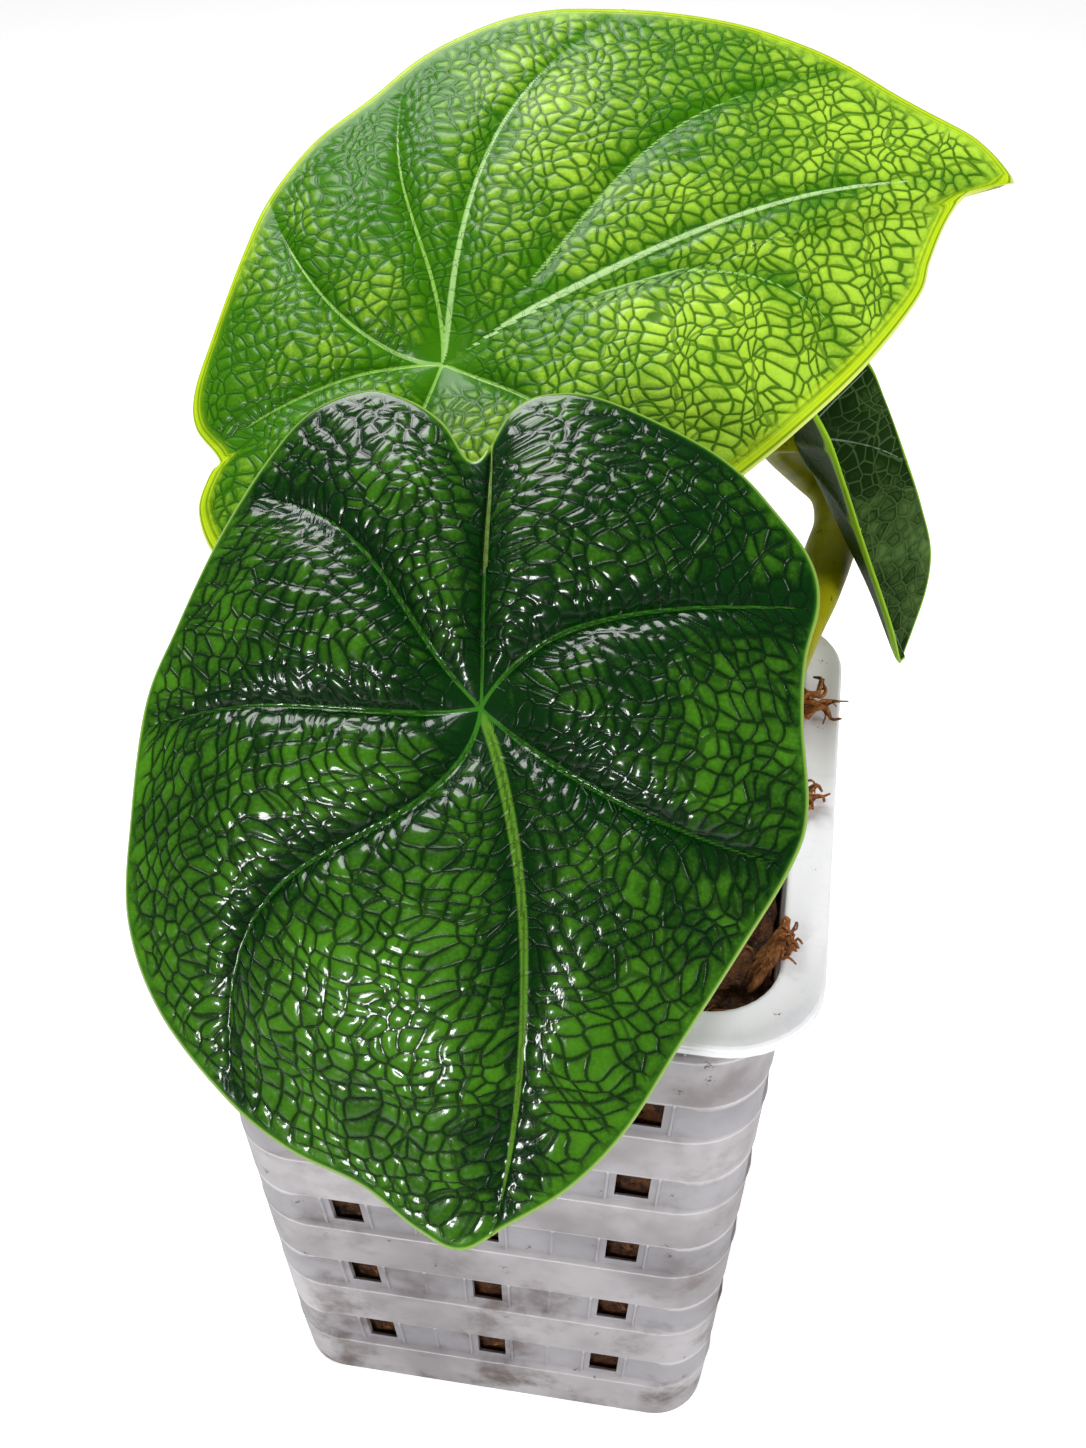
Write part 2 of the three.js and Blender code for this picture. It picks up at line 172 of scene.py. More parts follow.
class Batch:
    """Gathers many small shapes into one mesh."""

    def __init__(self) -> None:
        """Start with nothing."""
        self.total = bmesh.new()

    def take(self, shape: bmesh.types.BMesh) -> None:
        """Move a small shape into the batch and free it.

        Args:
            shape: the small shape.
        """
        part = bpy.data.meshes.new("part")
        shape.to_mesh(part)
        shape.free()
        self.total.from_mesh(part)
        bpy.data.meshes.remove(part)

    def mesh(self, name: str) -> bpy.types.Mesh:
        """The whole batch as a mesh in metres."""
        return mesh_from(self.total, name)


def wrap(shape: bmesh.types.BMesh, rings: list[list[Vector]]) -> None:
    """Add a closed tube through rings of points to a bmesh, made from a grid that is rolled up.

    Args:
        shape: the bmesh to add to.
        rings: equal rings, each running anticlockwise seen from the last ring.
    """
    around = len(rings[0])
    made = bmesh.ops.create_grid(shape, x_segments=around, y_segments=len(rings) - 1, size=1.0)
    grid = made["verts"]
    for index, vert in enumerate(grid):
        row, column = divmod(index, around + 1)
        vert.co = rings[row][column % around]
    first = grid[:around]
    last = grid[-around - 1:-1]
    bmesh.ops.weld_verts(shape, targetmap={
        grid[row * (around + 1) + around]: grid[row * (around + 1)] for row in range(len(rings))
    })
    shape.faces.new(list(reversed(first)))
    shape.faces.new(last)


def spline(before: object, start: object, stop: object, after: object, t: float) -> object:
    """Point of a Catmull-Rom curve between the middle two of four knots.

    Args:
        before: knot before the stretch.
        start: its first end.
        stop: its last end.
        after: knot after the stretch.
        t: share of the way from start to stop.

    Returns:
        The point, of the same kind as the knots.
    """
    return 0.5 * (
        2 * start + (stop - before) * t
        + (2 * before - 5 * start + 4 * stop - after) * t ** 2
        + (3 * start - before - 3 * stop + after) * t ** 3
    )


def curve_points(knots: list[Vector], steps: int) -> list[Vector]:
    """Even Catmull-Rom curve through knots.

    Args:
        knots: points that the curve passes.
        steps: number of stretches between the returned points.

    Returns:
        Points at even distances along the curve.
    """
    ends = [2 * knots[0] - knots[1], *knots, 2 * knots[-1] - knots[-2]]
    dense = []
    for i in range(1, len(ends) - 2):
        dense += [spline(*ends[i - 1:i + 3], k / KNOT_STEPS) for k in range(KNOT_STEPS)]
    dense.append(knots[-1].copy())
    lengths = [0.0]
    for a, b in zip(dense, dense[1:]):
        lengths.append(lengths[-1] + (b - a).length)
    table = np.array([tuple(point) for point in dense])
    places = np.linspace(0.0, lengths[-1], steps + 1)
    columns = [np.interp(places, lengths, table[:, axis]) for axis in range(3)]
    return [Vector(point) for point in zip(*columns)]


def tube_rings(points: list[Vector], radii: list[float], sides: int) -> list[list[Vector]]:
    """Rings of a round tube that follows points without twisting.

    Args:
        points: middle line.
        radii: radius at each point.
        sides: corners of a ring.

    Returns:
        One ring for each point.
    """
    rings = []
    side = (points[1] - points[0]).orthogonal().normalized()
    for i, point in enumerate(points):
        ahead = points[min(i + 1, len(points) - 1)] - points[max(i - 1, 0)]
        ahead.normalize()
        side = (side - side.dot(ahead) * ahead).normalized()
        other = ahead.cross(side)
        ring = []
        for k in range(sides):
            turn = k / sides * math.tau
            ring.append(point + radii[i] * (math.cos(turn) * side + math.sin(turn) * other))
        rings.append(ring)
    return rings


# Node trees

class NodeSheet:
    """Short calls that add and join nodes in one tree."""

    def __init__(self, tree: bpy.types.NodeTree) -> None:
        """Keep the tree that the calls work on."""
        self.tree = tree

    def add(self, kind: str, **settings: object) -> bpy.types.Node:
        """Add a node and set its own options.

        Args:
            kind: node type name.
            **settings: options of the node.

        Returns:
            The new node.
        """
        node = self.tree.nodes.new(kind)
        for name, value in settings.items():
            setattr(node, name, value)
        return node

    def feed(self, target: bpy.types.NodeSocket, value: object) -> None:
        """Set a socket to a plain value, or link it where the value is a socket.

        Args:
            target: input socket.
            value: number, colour or output socket.
        """
        if isinstance(value, bpy.types.NodeSocket):
            self.tree.links.new(value, target)
        else:
            target.default_value = value

    def math(self, operation: str, first: object, second: object = 0.0) -> bpy.types.NodeSocket:
        """Add a Math node.

        Args:
            operation: its operation.
            first: first value or socket.
            second: second value or socket.

        Returns:
            Its result.
        """
        node = self.add("ShaderNodeMath", operation=operation)
        self.feed(node.inputs[0], first)
        self.feed(node.inputs[1], second)
        return node.outputs[0]

    def ease(self, value: object, low: object, high: object, top: float = 1.0) -> bpy.types.NodeSocket:
        """Smooth step from 0 at low to top at high.

        Args:
            value: value to ease.
            low: start of the step.
            high: end of the step.
            top: result past the end.

        Returns:
            The eased value.
        """
        node = self.add("ShaderNodeMapRange", interpolation_type="SMOOTHSTEP")
        self.feed(node.inputs["Value"], value)
        self.feed(node.inputs["From Min"], low)
        self.feed(node.inputs["From Max"], high)
        node.inputs["To Max"].default_value = top
        return node.outputs["Result"]

    def fade(self, value: object, low: object, high: object, top: float = 1.0) -> bpy.types.NodeSocket:
        """Smooth step from top at low down to 0 at high."""
        return self.math("SUBTRACT", top, self.ease(value, low, high, top))

    def swing(self, value: object, weight: float) -> bpy.types.NodeSocket:
        """How far a value from 0 to 1 stands from its middle, times a weight."""
        return self.math("MULTIPLY", self.math("SUBTRACT", value, 0.5), weight)

    def mix(self, factor: object, first: object, second: object) -> bpy.types.NodeSocket:
        """Mix two colours.

        Args:
            factor: share of the second colour.
            first: first colour.
            second: second colour.

        Returns:
            The mixed colour.
        """
        node = self.add("ShaderNodeMix", data_type="RGBA")
        self.feed(node.inputs[0], factor)
        self.feed(node.inputs[6], first)
        self.feed(node.inputs[7], second)
        return node.outputs[2]

    def noise(
        self, vector: object, scale: object, detail: float = 3.0, rough: float = 0.5
    ) -> bpy.types.NodeSocket:
        """Add a noise texture.

        Args:
            vector: where it is read.
            scale: its scale.
            detail: its octaves.
            rough: strength of the finer octaves.

        Returns:
            Its value.
        """
        node = self.add("ShaderNodeTexNoise")
        self.feed(node.inputs["Vector"], vector)
        self.feed(node.inputs["Scale"], scale)
        node.inputs["Detail"].default_value = detail
        node.inputs["Roughness"].default_value = rough
        return node.outputs["Fac"]

    def attribute(self, name: str, output: str = "Fac") -> bpy.types.NodeSocket:
        """Read an attribute of the mesh through one of the node's outputs."""
        return self.add("ShaderNodeAttribute", attribute_name=name).outputs[output]

    def place(self) -> bpy.types.NodeSocket:
        """Object coordinates, in metres."""
        return self.add("ShaderNodeTexCoord").outputs["Object"]

    def bump(self, height: object, distance: float) -> bpy.types.NodeSocket:
        """Add a bump.

        Args:
            height: height from 0 to 1.
            distance: height of 1 in metres.

        Returns:
            The bumped normal.
        """
        node = self.add("ShaderNodeBump")
        node.inputs["Strength"].default_value = 1.0
        node.inputs["Distance"].default_value = distance
        self.feed(node.inputs["Height"], height)
        return node.outputs["Normal"]


def new_material(name: str) -> tuple[bpy.types.Material, NodeSheet, bpy.types.Node]:
    """Make a material with its own Principled BSDF.

    Args:
        name: the material's name.

    Returns:
        The material, the sheet for its nodes and its shader.
    """
    material = bpy.data.materials.new(name)
    material.use_nodes = True
    sheet = NodeSheet(material.node_tree)
    return material, sheet, material.node_tree.nodes["Principled BSDF"]


def set_plain(node: bpy.types.Node, values: dict[str, object]) -> None:
    """Set a node's own sockets to plain values, given by socket name."""
    for name, value in values.items():
        node.inputs[name].default_value = value


def group_tree(name: str, inputs: dict[str, str], outputs: dict[str, str]) -> tuple:
    """Make an empty shader node group.

    Args:
        name: the group's name.
        inputs: socket types by name.
        outputs: socket types by name.

    Returns:
        The tree, its sheet, its input node and its output node.
    """
    tree = bpy.data.node_groups.new(name, "ShaderNodeTree")
    for label, kind in inputs.items():
        tree.interface.new_socket(label, in_out="INPUT", socket_type=kind)
    for label, kind in outputs.items():
        tree.interface.new_socket(label, in_out="OUTPUT", socket_type=kind)
    sheet = NodeSheet(tree)
    return tree, sheet, sheet.add("NodeGroupInput"), sheet.add("NodeGroupOutput")


FLOAT = "NodeSocketFloat"
VECTOR = "NodeSocketVector"


@dataclass(frozen=True)
class QuiltNet:
    """Net of fine and coarse veinlets that a leaf's finish and its relief share."""

    coarse_along: float = 0.17
    coarse_across: float = 0.36
    coarse_shift: float = 7.3
    attribute: str = "quilt"

    def voronoi(
        self, sheet: NodeSheet, vector: object, feature: str, randomness: object
    ) -> bpy.types.Node:
        """Add one cell texture of the net.

        Args:
            sheet: node tree to add to.
            vector: where it is read.
            feature: F1 or DISTANCE_TO_EDGE.
            randomness: how uneven the cells are, from 0 to 1.

        Returns:
            The texture node.
        """
        node = sheet.add("ShaderNodeTexVoronoi", voronoi_dimensions="2D", feature=feature)
        sheet.feed(node.inputs["Vector"], vector)
        node.inputs["Scale"].default_value = 1.0
        sheet.feed(node.inputs["Randomness"], randomness)
        return node

    def coarse_place(self, sheet: NodeSheet, vector: object) -> bpy.types.NodeSocket:
        """Coordinates of the coarse net.

        Args:
            sheet: node tree to add to.
            vector: coordinates of the fine net.

        Returns:
            The scaled and shifted coordinates.
        """
        node = sheet.add("ShaderNodeVectorMath", operation="MULTIPLY_ADD")
        sheet.feed(node.inputs[0], vector)
        node.inputs[1].default_value = (self.coarse_along, self.coarse_across, 0.0)
        node.inputs[2].default_value = (self.coarse_shift, self.coarse_shift, 0.0)
        return node.outputs[0]

    def group(self) -> bpy.types.NodeTree:
        """Build the shader group that draws the net.

        Returns:
            The group's tree: gaps to the nearest veinlets in millimetres and a tone for each cell.
        """
        tree, sheet, given, result = group_tree(
            "quilt_net",
            {"Place": VECTOR, "Cell Size": FLOAT, "Randomness": FLOAT},
            {"Fine Gap": FLOAT, "Coarse Gap": FLOAT, "Cell Tone": FLOAT, "Coarse Tone": FLOAT},
        )
        place = given.outputs["Place"]
        size = given.outputs["Cell Size"]
        uneven = given.outputs["Randomness"]
        coarse_place = self.coarse_place(sheet, place)
        fine = self.voronoi(sheet, place, "DISTANCE_TO_EDGE", uneven).outputs["Distance"]
        coarse = self.voronoi(sheet, coarse_place, "DISTANCE_TO_EDGE", uneven).outputs["Distance"]
        coarse_size = sheet.math("DIVIDE", size, 0.5 * (self.coarse_along + self.coarse_across))
        sheet.feed(result.inputs["Fine Gap"], sheet.math("MULTIPLY", fine, size))
        sheet.feed(result.inputs["Coarse Gap"], sheet.math("MULTIPLY", coarse, coarse_size))
        for label, vector in (("Cell Tone", place), ("Coarse Tone", coarse_place)):
            split = sheet.add("ShaderNodeSeparateColor")
            sheet.feed(split.inputs[0], self.voronoi(sheet, vector, "F1", uneven).outputs["Color"])
            sheet.feed(result.inputs[label], split.outputs[0])
        return tree

    def read(self, mesh: bpy.types.Mesh, randomness: float) -> tuple[np.ndarray, np.ndarray]:
        """Read the same net at every vertex of a mesh.

        Args:
            mesh: mesh that has the net's coordinates as an attribute.
            randomness: how uneven the cells are.

        Returns:
            Distance to the nearest fine and coarse veinlet, in cells.
        """
        tree = bpy.data.node_groups.new("net_reader", "GeometryNodeTree")
        tree.interface.new_socket("Geometry", in_out="INPUT", socket_type="NodeSocketGeometry")
        tree.interface.new_socket("Geometry", in_out="OUTPUT", socket_type="NodeSocketGeometry")
        sheet = NodeSheet(tree)
        source = sheet.add("GeometryNodeInputNamedAttribute", data_type="FLOAT_VECTOR")
        source.inputs["Name"].default_value = self.attribute
        place = source.outputs[0]
        flow = sheet.add("NodeGroupInput").outputs[0]
        for label, vector in (("fine", place), ("coarse", self.coarse_place(sheet, place))):
            store = sheet.add("GeometryNodeStoreNamedAttribute", data_type="FLOAT", domain="POINT")
            store.inputs["Name"].default_value = label
            sheet.feed(store.inputs["Geometry"], flow)
            cells = self.voronoi(sheet, vector, "DISTANCE_TO_EDGE", randomness)
            gap = cells.outputs["Distance"]
            sheet.feed(store.inputs["Value"], gap)
            flow = store.outputs[0]
        sheet.feed(sheet.add("NodeGroupOutput").inputs[0], flow)
        probe = bpy.data.objects.new("net_probe", mesh)
        bpy.context.scene.collection.objects.link(probe)
        probe.modifiers.new("net", "NODES").node_group = tree
        evaluated = probe.evaluated_get(bpy.context.evaluated_depsgraph_get()).data
        gaps = []
        for label in ("fine", "coarse"):
            values = np.zeros(len(mesh.vertices), np.float32)
            evaluated.attributes[label].data.foreach_get("value", values)
            gaps.append(values.astype(float))
        bpy.data.objects.remove(probe)
        bpy.data.node_groups.remove(tree)
        return gaps[0], gaps[1]


@dataclass(frozen=True)
class Mottle:
    """Soft blotches and small specks, shared by the pot and the stalks."""

    blotch_from: float = 0.47
    blotch_full: float = 0.72
    bare_share: float = 0.72
    ragged_scale: float = 2600.0

    def group(self) -> bpy.types.NodeTree:
        """Build the shader group.

        Returns:
            The group's tree, with a mask of blotches and one of specks.
        """
        tree, sheet, given, result = group_tree(
            "mottle",
            {"Place": VECTOR, "Blotch Scale": FLOAT, "Speck Scale": FLOAT, "Speck Size": FLOAT},
            {"Blotches": FLOAT, "Specks": FLOAT},
        )
        place = given.outputs["Place"]
        cloud = sheet.noise(place, given.outputs["Blotch Scale"], 6.0, 0.62)
        sheet.feed(result.inputs["Blotches"], sheet.ease(cloud, self.blotch_from, self.blotch_full))
        cells = sheet.add("ShaderNodeTexVoronoi")
        sheet.feed(cells.inputs["Vector"], place)
        sheet.feed(cells.inputs["Scale"], given.outputs["Speck Scale"])
        split = sheet.add("ShaderNodeSeparateColor")
        sheet.feed(split.inputs[0], cells.outputs["Color"])
        chosen = sheet.ease(split.outputs[0], self.bare_share, self.bare_share + 0.04)
        size = sheet.math("MULTIPLY", given.outputs["Speck Size"], split.outputs[1])
        ragged = sheet.math("ADD", cells.outputs["Distance"], sheet.noise(place, self.ragged_scale, 2.0))
        spot = sheet.fade(sheet.math("SUBTRACT", ragged, 0.5), 0.0, size)
        sheet.feed(result.inputs["Specks"], sheet.math("MULTIPLY", spot, chosen))
        return tree


class SharedEffects:
    """The node groups that more than one finish uses, built once."""

    def __init__(self) -> None:
        """Build each group."""
        self.net = QuiltNet()
        self.net_tree = self.net.group()
        self.mottle_tree = Mottle().group()

    def add_mottle(
        self, sheet: NodeSheet, place: object, blotch_scale: float, speck_scale: float, speck_size: float
    ) -> bpy.types.Node:
        """Put the blotches and specks in a material.

        Args:
            sheet: node tree of the material.
            place: where they are read.
            blotch_scale: scale of the blotches.
            speck_scale: scale of the cells that may hold a speck.
            speck_size: size of a speck in its cell.

        Returns:
            The group's node.
        """
        node = sheet.add("ShaderNodeGroup", node_tree=self.mottle_tree)
        sheet.feed(node.inputs["Place"], place)
        set_plain(node, {
            "Blotch Scale": blotch_scale, "Speck Scale": speck_scale, "Speck Size": speck_size,
        })
        return node


# Finishes

@dataclass(frozen=True)
class LeafFinish:
    """Colours and gloss of one blade."""

    name: str
    deep: tuple
    light: tuple
    veinlet: tuple
    vein: tuple
    midrib: tuple
    margin: tuple
    edge: tuple
    under: tuple
    under_vein: tuple
    roughness: float
    coat: float
    coat_roughness: float
    fine_width: float
    coarse_width: float
    veinlet_strength: float
    groove: float
    margin_wide: float
    uneven: float = 0.62
    cell_variety: float = 0.3
    glow: float = 0.0
    streaks: float = 0.0
    shine: float = 0.3
    under_roughness: float = 0.55
    coarse_variety: float = 0.6
    cloud_swing: float = 0.9
    grain_swing: float = 0.5
    middle_lift: float = 0.22

    def build(self, effects: SharedEffects) -> bpy.types.Material:
        """Make the material.

        Args:
            effects: shared node groups.

        Returns:
            The blade's material.
        """
        material, sheet, shader = new_material(self.name)
        net = sheet.add("ShaderNodeGroup", node_tree=effects.net_tree)
        sheet.feed(net.inputs["Place"], sheet.attribute("quilt", "Vector"))
        sheet.feed(net.inputs["Cell Size"], sheet.attribute("cell_size"))
        net.inputs["Randomness"].default_value = self.uneven
        fine = sheet.fade(net.outputs["Fine Gap"], 0.25 * self.fine_width, self.fine_width)
        coarse = sheet.fade(net.outputs["Coarse Gap"], 0.3 * self.coarse_width, self.coarse_width, 0.7)
        lines = sheet.math("MULTIPLY", sheet.math("MAXIMUM", fine, coarse), sheet.attribute("calm"))
        place = sheet.place()
        grain = sheet.noise(place, 1900.0, 2.0, 0.6)
        cloud = sheet.noise(place, 95.0, 3.0, 0.55)
        tone = self._tone(sheet, net, grain, cloud)
        colour = sheet.mix(tone, self.deep, self.light)
        colour = sheet.mix(sheet.math("MULTIPLY", lines, self.veinlet_strength), colour, self.veinlet)
        colour = self._veins(sheet, colour, grain)
        colour = self._margin(sheet, colour, place)
        colour = self._underside(sheet, colour, lines)
        sheet.feed(shader.inputs["Base Color"], colour)
        rough = sheet.math("MULTIPLY_ADD", grain, 0.14)
        rough.node.inputs[2].default_value = self.roughness - 0.07
        dull = sheet.math("MULTIPLY", sheet.attribute("underside"), self.under_roughness)
        sheet.feed(shader.inputs["Roughness"], sheet.math("MAXIMUM", rough, dull))
        relief = self._relief(sheet, lines, grain)
        sheet.feed(shader.inputs["Normal"], sheet.bump(relief, self.groove * MM))
        set_plain(shader, {
            "Specular IOR Level": self.shine,
            "Coat Weight": self.coat,
            "Coat Roughness": self.coat_roughness,
        })
        if self.glow:
            set_plain(shader, {
                "Subsurface Weight": self.glow,
                "Subsurface Radius": (0.6, 1.0, 0.15),
                "Subsurface Scale": 0.0012,
            })
        return material

    def _tone(self, sheet: NodeSheet, net: bpy.types.Node, grain: object, cloud: object) -> object:
        """Lightness of a cell from its place on the leaf and its own chance value. The place carries
        painted shade along the main veins and round the hub, and painted light towards one side.

        Args:
            sheet: node tree of the material.
            net: node of the quilt net.
            grain: fine noise.
            cloud: broad noise.

        Returns:
            The lightness from 0 to 1.
        """
        total = sheet.attribute("tone")
        for part in (
            sheet.swing(net.outputs["Cell Tone"], self.cell_variety),
            sheet.swing(net.outputs["Coarse Tone"], self.coarse_variety * self.cell_variety),
            sheet.swing(cloud, self.cloud_swing),
            sheet.swing(grain, self.grain_swing),
            sheet.ease(net.outputs["Fine Gap"], 0.1, 0.8, self.middle_lift),
        ):
            total = sheet.math("ADD", total, part)
        return sheet.ease(total, 0.0, 1.2)

    def _veins(self, sheet: NodeSheet, colour: object, grain: object) -> object:
        """Lay the main veins over the cells.

        Args:
            sheet: node tree of the material.
            colour: colour of the cells.
            grain: fine noise.

        Returns:
            The colour with veins.
        """
        core = sheet.attribute("vein_core")
        streak = sheet.math("MULTIPLY", grain, 0.25)
        line = sheet.fade(sheet.math("ADD", core, streak), 0.75, 1.35)
        vein_colour = sheet.mix(sheet.attribute("midrib"), self.vein, self.midrib)
        return sheet.mix(line, colour, vein_colour)

    def _margin(self, sheet: NodeSheet, colour: object, place: object) -> object:
        """Pale band and thin light edge round the blade.

        Args:
            sheet: node tree of the material.
            colour: colour inside the band.
            place: object coordinates.

        Returns:
            The colour with its margin.
        """
        gap = sheet.attribute("margin_band")
        wobble = sheet.math("MULTIPLY", sheet.noise(place, 220.0, 2.0), 0.5 * self.margin_wide)
        shifted = sheet.math("ADD", gap, wobble)
        band = sheet.fade(shifted, 0.35 * self.margin_wide, 1.35 * self.margin_wide)
        stripe = sheet.add("ShaderNodeTexNoise", noise_dimensions="1D")
        sheet.feed(stripe.inputs["W"], sheet.math("MULTIPLY_ADD", gap, 1.9))
        stripe.inputs["Scale"].default_value = 1.0
        dark = sheet.ease(stripe.outputs["Fac"], 0.42, 0.62, self.streaks)
        banded = sheet.mix(band, colour, sheet.mix(dark, self.margin, self.deep))
        return sheet.mix(sheet.fade(gap, 0.15, 0.6), banded, self.edge)

    def _underside(self, sheet: NodeSheet, colour: object, lines: object) -> object:
        """Put the underside's own colours, veins and edge where the blade is turned over.

        Args:
            sheet: node tree of the material.
            colour: colour of the upper side.
            lines: mask of the fine net.

        Returns:
            The colour of both sides.
        """
        core = sheet.attribute("vein_core")
        vein = sheet.math("MAXIMUM", sheet.fade(core, 0.9, 1.8), sheet.math("MULTIPLY", lines, 0.45))
        below = sheet.mix(vein, self.under, self.under_vein)
        below = sheet.mix(sheet.fade(sheet.attribute("margin_gap"), 0.7, 2.0), below, self.edge)
        return sheet.mix(sheet.attribute("underside"), colour, below)

    def _relief(self, sheet: NodeSheet, lines: object, grain: object) -> object:
        """Fine grooves of the net and a trace of grain, as a height of about 0 to 1."""
        top = sheet.math("SUBTRACT", 1.0, lines)
        return sheet.math("ADD", top, sheet.math("MULTIPLY", grain, 0.12))


@dataclass(frozen=True)
class PlasticFinish:
    """Frosted pale plastic with grime, painted shade in the recessed bands and painted highlights on
    their ledges.
    """

    body: tuple = srgb(156, 151, 154)
    grime: tuple = srgb(98, 82, 76)
    pale: tuple = srgb(196, 192, 195)
    # Painted shade: colour of the recessed bands, darker and bluer where shade falls in the recesses.
    sunken: tuple = srgb(142, 142, 150)
    # Painted highlight: the pale line along each recess's lower ledge, where its edge catches the light.
    ledge_highlight: tuple = srgb(226, 224, 227)
    rim: tuple = srgb(246, 245, 249)
    lilac: tuple = srgb(236, 235, 242)
    speck: tuple = srgb(70, 56, 48)
    roughness: float = 0.36
    dirt: float = 0.46

    def build(self, effects: SharedEffects) -> bpy.types.Material:
        """Make the material.

        Args:
            effects: shared node groups.

        Returns:
            The pot's material.
        """
        material, sheet, shader = new_material("frosted_plastic")
        place = sheet.place()
        mottle = effects.add_mottle(sheet, place, blotch_scale=85.0, speck_scale=260.0, speck_size=0.22)
        rim = sheet.attribute("rim")
        recess = sheet.attribute("recess")
        cloud = sheet.noise(place, 28.0, 4.0, 0.6)
        wall = sheet.mix(sheet.ease(cloud, 0.38, 0.62), self.body, self.pale)
        # Painted shade: the recessed bands are mixed towards the darker sunken colour.
        wall = sheet.mix(sheet.math("MULTIPLY", recess, 0.45), wall, self.sunken)
        # Painted highlight: the ledge rings are mixed towards the pale highlight colour.
        wall = sheet.mix(sheet.math("MULTIPLY", sheet.attribute("ledge"), 0.75), wall, self.ledge_highlight)
        low = sheet.attribute("low")
        amount = sheet.math("ADD", self.dirt, low)
        dirt = sheet.math("MULTIPLY", mottle.outputs["Blotches"], amount)
        wall = sheet.mix(dirt, wall, self.grime)
        tint = sheet.ease(sheet.noise(place, 190.0, 4.0, 0.65), 0.5, 0.66, 0.6)
        top = sheet.mix(tint, self.rim, self.lilac)
        colour = sheet.mix(rim, wall, top)
        specks = sheet.math("MULTIPLY", mottle.outputs["Specks"], 0.85)
        sheet.feed(shader.inputs["Base Color"], sheet.mix(specks, colour, self.speck))
        scuff = sheet.noise(place, 420.0, 4.0, 0.6)
        rough = sheet.math("ADD", self.roughness - 0.1, sheet.math("MULTIPLY", scuff, 0.3))
        sheet.feed(shader.inputs["Roughness"], rough)
        sheet.feed(shader.inputs["Normal"], sheet.bump(scuff, 0.00006))
        set_plain(shader, {
            "Subsurface Weight": 0.25,
            "Subsurface Radius": (1.0, 0.9, 0.8),
            "Subsurface Scale": 0.002,
        })
        return material


@dataclass(frozen=True)
class StalkFinish:
    """Waxy olive stalk with dark specks, paler towards its head."""

    foot: tuple = srgb(150, 142, 18)
    head: tuple = srgb(158, 162, 8)
    streak: tuple = srgb(160, 160, 30)
    blotch: tuple = srgb(92, 82, 24)
    speck: tuple = srgb(52, 40, 20)

    def build(self, effects: SharedEffects) -> bpy.types.Material:
        """Make the material.

        Args:
            effects: shared node groups.

        Returns:
            The stalks' material.
        """
        material, sheet, shader = new_material("waxy_stalk")
        place = sheet.place()
        mottle = effects.add_mottle(sheet, place, blotch_scale=240.0, speck_scale=420.0, speck_size=0.4)
        colour = sheet.mix(sheet.attribute("along"), self.foot, self.head)
        streak = sheet.noise(place, 480.0, 3.0)
        colour = sheet.mix(sheet.ease(streak, 0.35, 0.7, 0.25), colour, self.streak)
        blotch = sheet.math("MULTIPLY", mottle.outputs["Blotches"], 0.4)
        colour = sheet.mix(blotch, colour, self.blotch)
        sheet.feed(shader.inputs["Base Color"], sheet.mix(mottle.outputs["Specks"], colour, self.speck))
        set_plain(shader, {
            "Roughness": 0.42,
            "Specular IOR Level": 0.12,
            "Subsurface Weight": 0.1,
            "Subsurface Radius": (0.6, 0.8, 0.2),
            "Subsurface Scale": 0.0015,
        })
        sheet.feed(shader.inputs["Normal"], sheet.bump(streak, 0.00012))
        return material


@dataclass(frozen=True)
class LooseFinish:
    """Damp organic matter, such as soil, bark, moss or a dry sheath."""

    name: str
    dark: tuple
    light: tuple
    warm: tuple
    scale: float
    relief: float
    roughness: float = 0.85

    def build(self) -> bpy.types.Material:
        """Make the material.

        Returns:
            The material.
        """
        material, sheet, shader = new_material(self.name)
        place = sheet.place()
        broad = sheet.noise(place, self.scale, 4.0, 0.6)
        fine = sheet.noise(place, 6.0 * self.scale, 4.0, 0.65)
        colour = sheet.mix(sheet.ease(broad, 0.38, 0.64), self.dark, self.light)
        colour = sheet.mix(sheet.ease(fine, 0.5, 0.72, 0.7), colour, self.warm)
        sheet.feed(shader.inputs["Base Color"], colour)
        shader.inputs["Roughness"].default_value = self.roughness
        height = sheet.math("ADD", fine, sheet.math("MULTIPLY", broad, 0.6))
        sheet.feed(shader.inputs["Normal"], sheet.bump(height, self.relief))
        return material


SOIL = LooseFinish(
    "soil", srgb(40, 22, 12), srgb(112, 66, 34), srgb(156, 102, 54), scale=260.0, relief=0.0009,
)
BARK = LooseFinish(
    "bark", srgb(62, 36, 20), srgb(128, 80, 44), srgb(168, 120, 72), scale=330.0, relief=0.0005,
)
MOSS = LooseFinish(
    "moss", srgb(120, 68, 30), srgb(182, 116, 60), srgb(216, 166, 108), scale=300.0, relief=0.0002,
)
SHEATH = LooseFinish(
    "sheath", srgb(82, 62, 30), srgb(140, 124, 62), srgb(176, 156, 100), scale=210.0, relief=0.0003,
)

DARK_LEAF = LeafFinish(
    name="dark_leaf", deep=srgb(3, 44, 4), light=srgb(72, 132, 20), veinlet=srgb(2, 32, 3),
    vein=srgb(52, 112, 26), midrib=srgb(84, 130, 32), margin=srgb(50, 110, 20),
    edge=srgb(140, 176, 70), under=srgb(96, 140, 70), under_vein=srgb(150, 178, 96), roughness=0.26,
    coat=0.42, coat_roughness=0.08, fine_width=0.26, coarse_width=0.4, veinlet_strength=0.8,
    groove=0.17, margin_wide=0.9, shine=0.2,
)

LIME_LEAF = LeafFinish(
    name="lime_leaf", deep=srgb(56, 116, 0), light=srgb(174, 214, 60), veinlet=srgb(40, 96, 0),
    vein=srgb(134, 184, 76), midrib=srgb(172, 206, 140), margin=srgb(190, 216, 26),
    edge=srgb(222, 236, 116), under=srgb(150, 186, 92), under_vein=srgb(196, 216, 132),
    roughness=0.38, coat=0.2, coat_roughness=0.2, fine_width=0.27, coarse_width=0.36,
    veinlet_strength=0.85, groove=0.2, margin_wide=4.2, uneven=0.85, cell_variety=0.2, glow=0.08,
    streaks=0.75, shine=0.12,
)

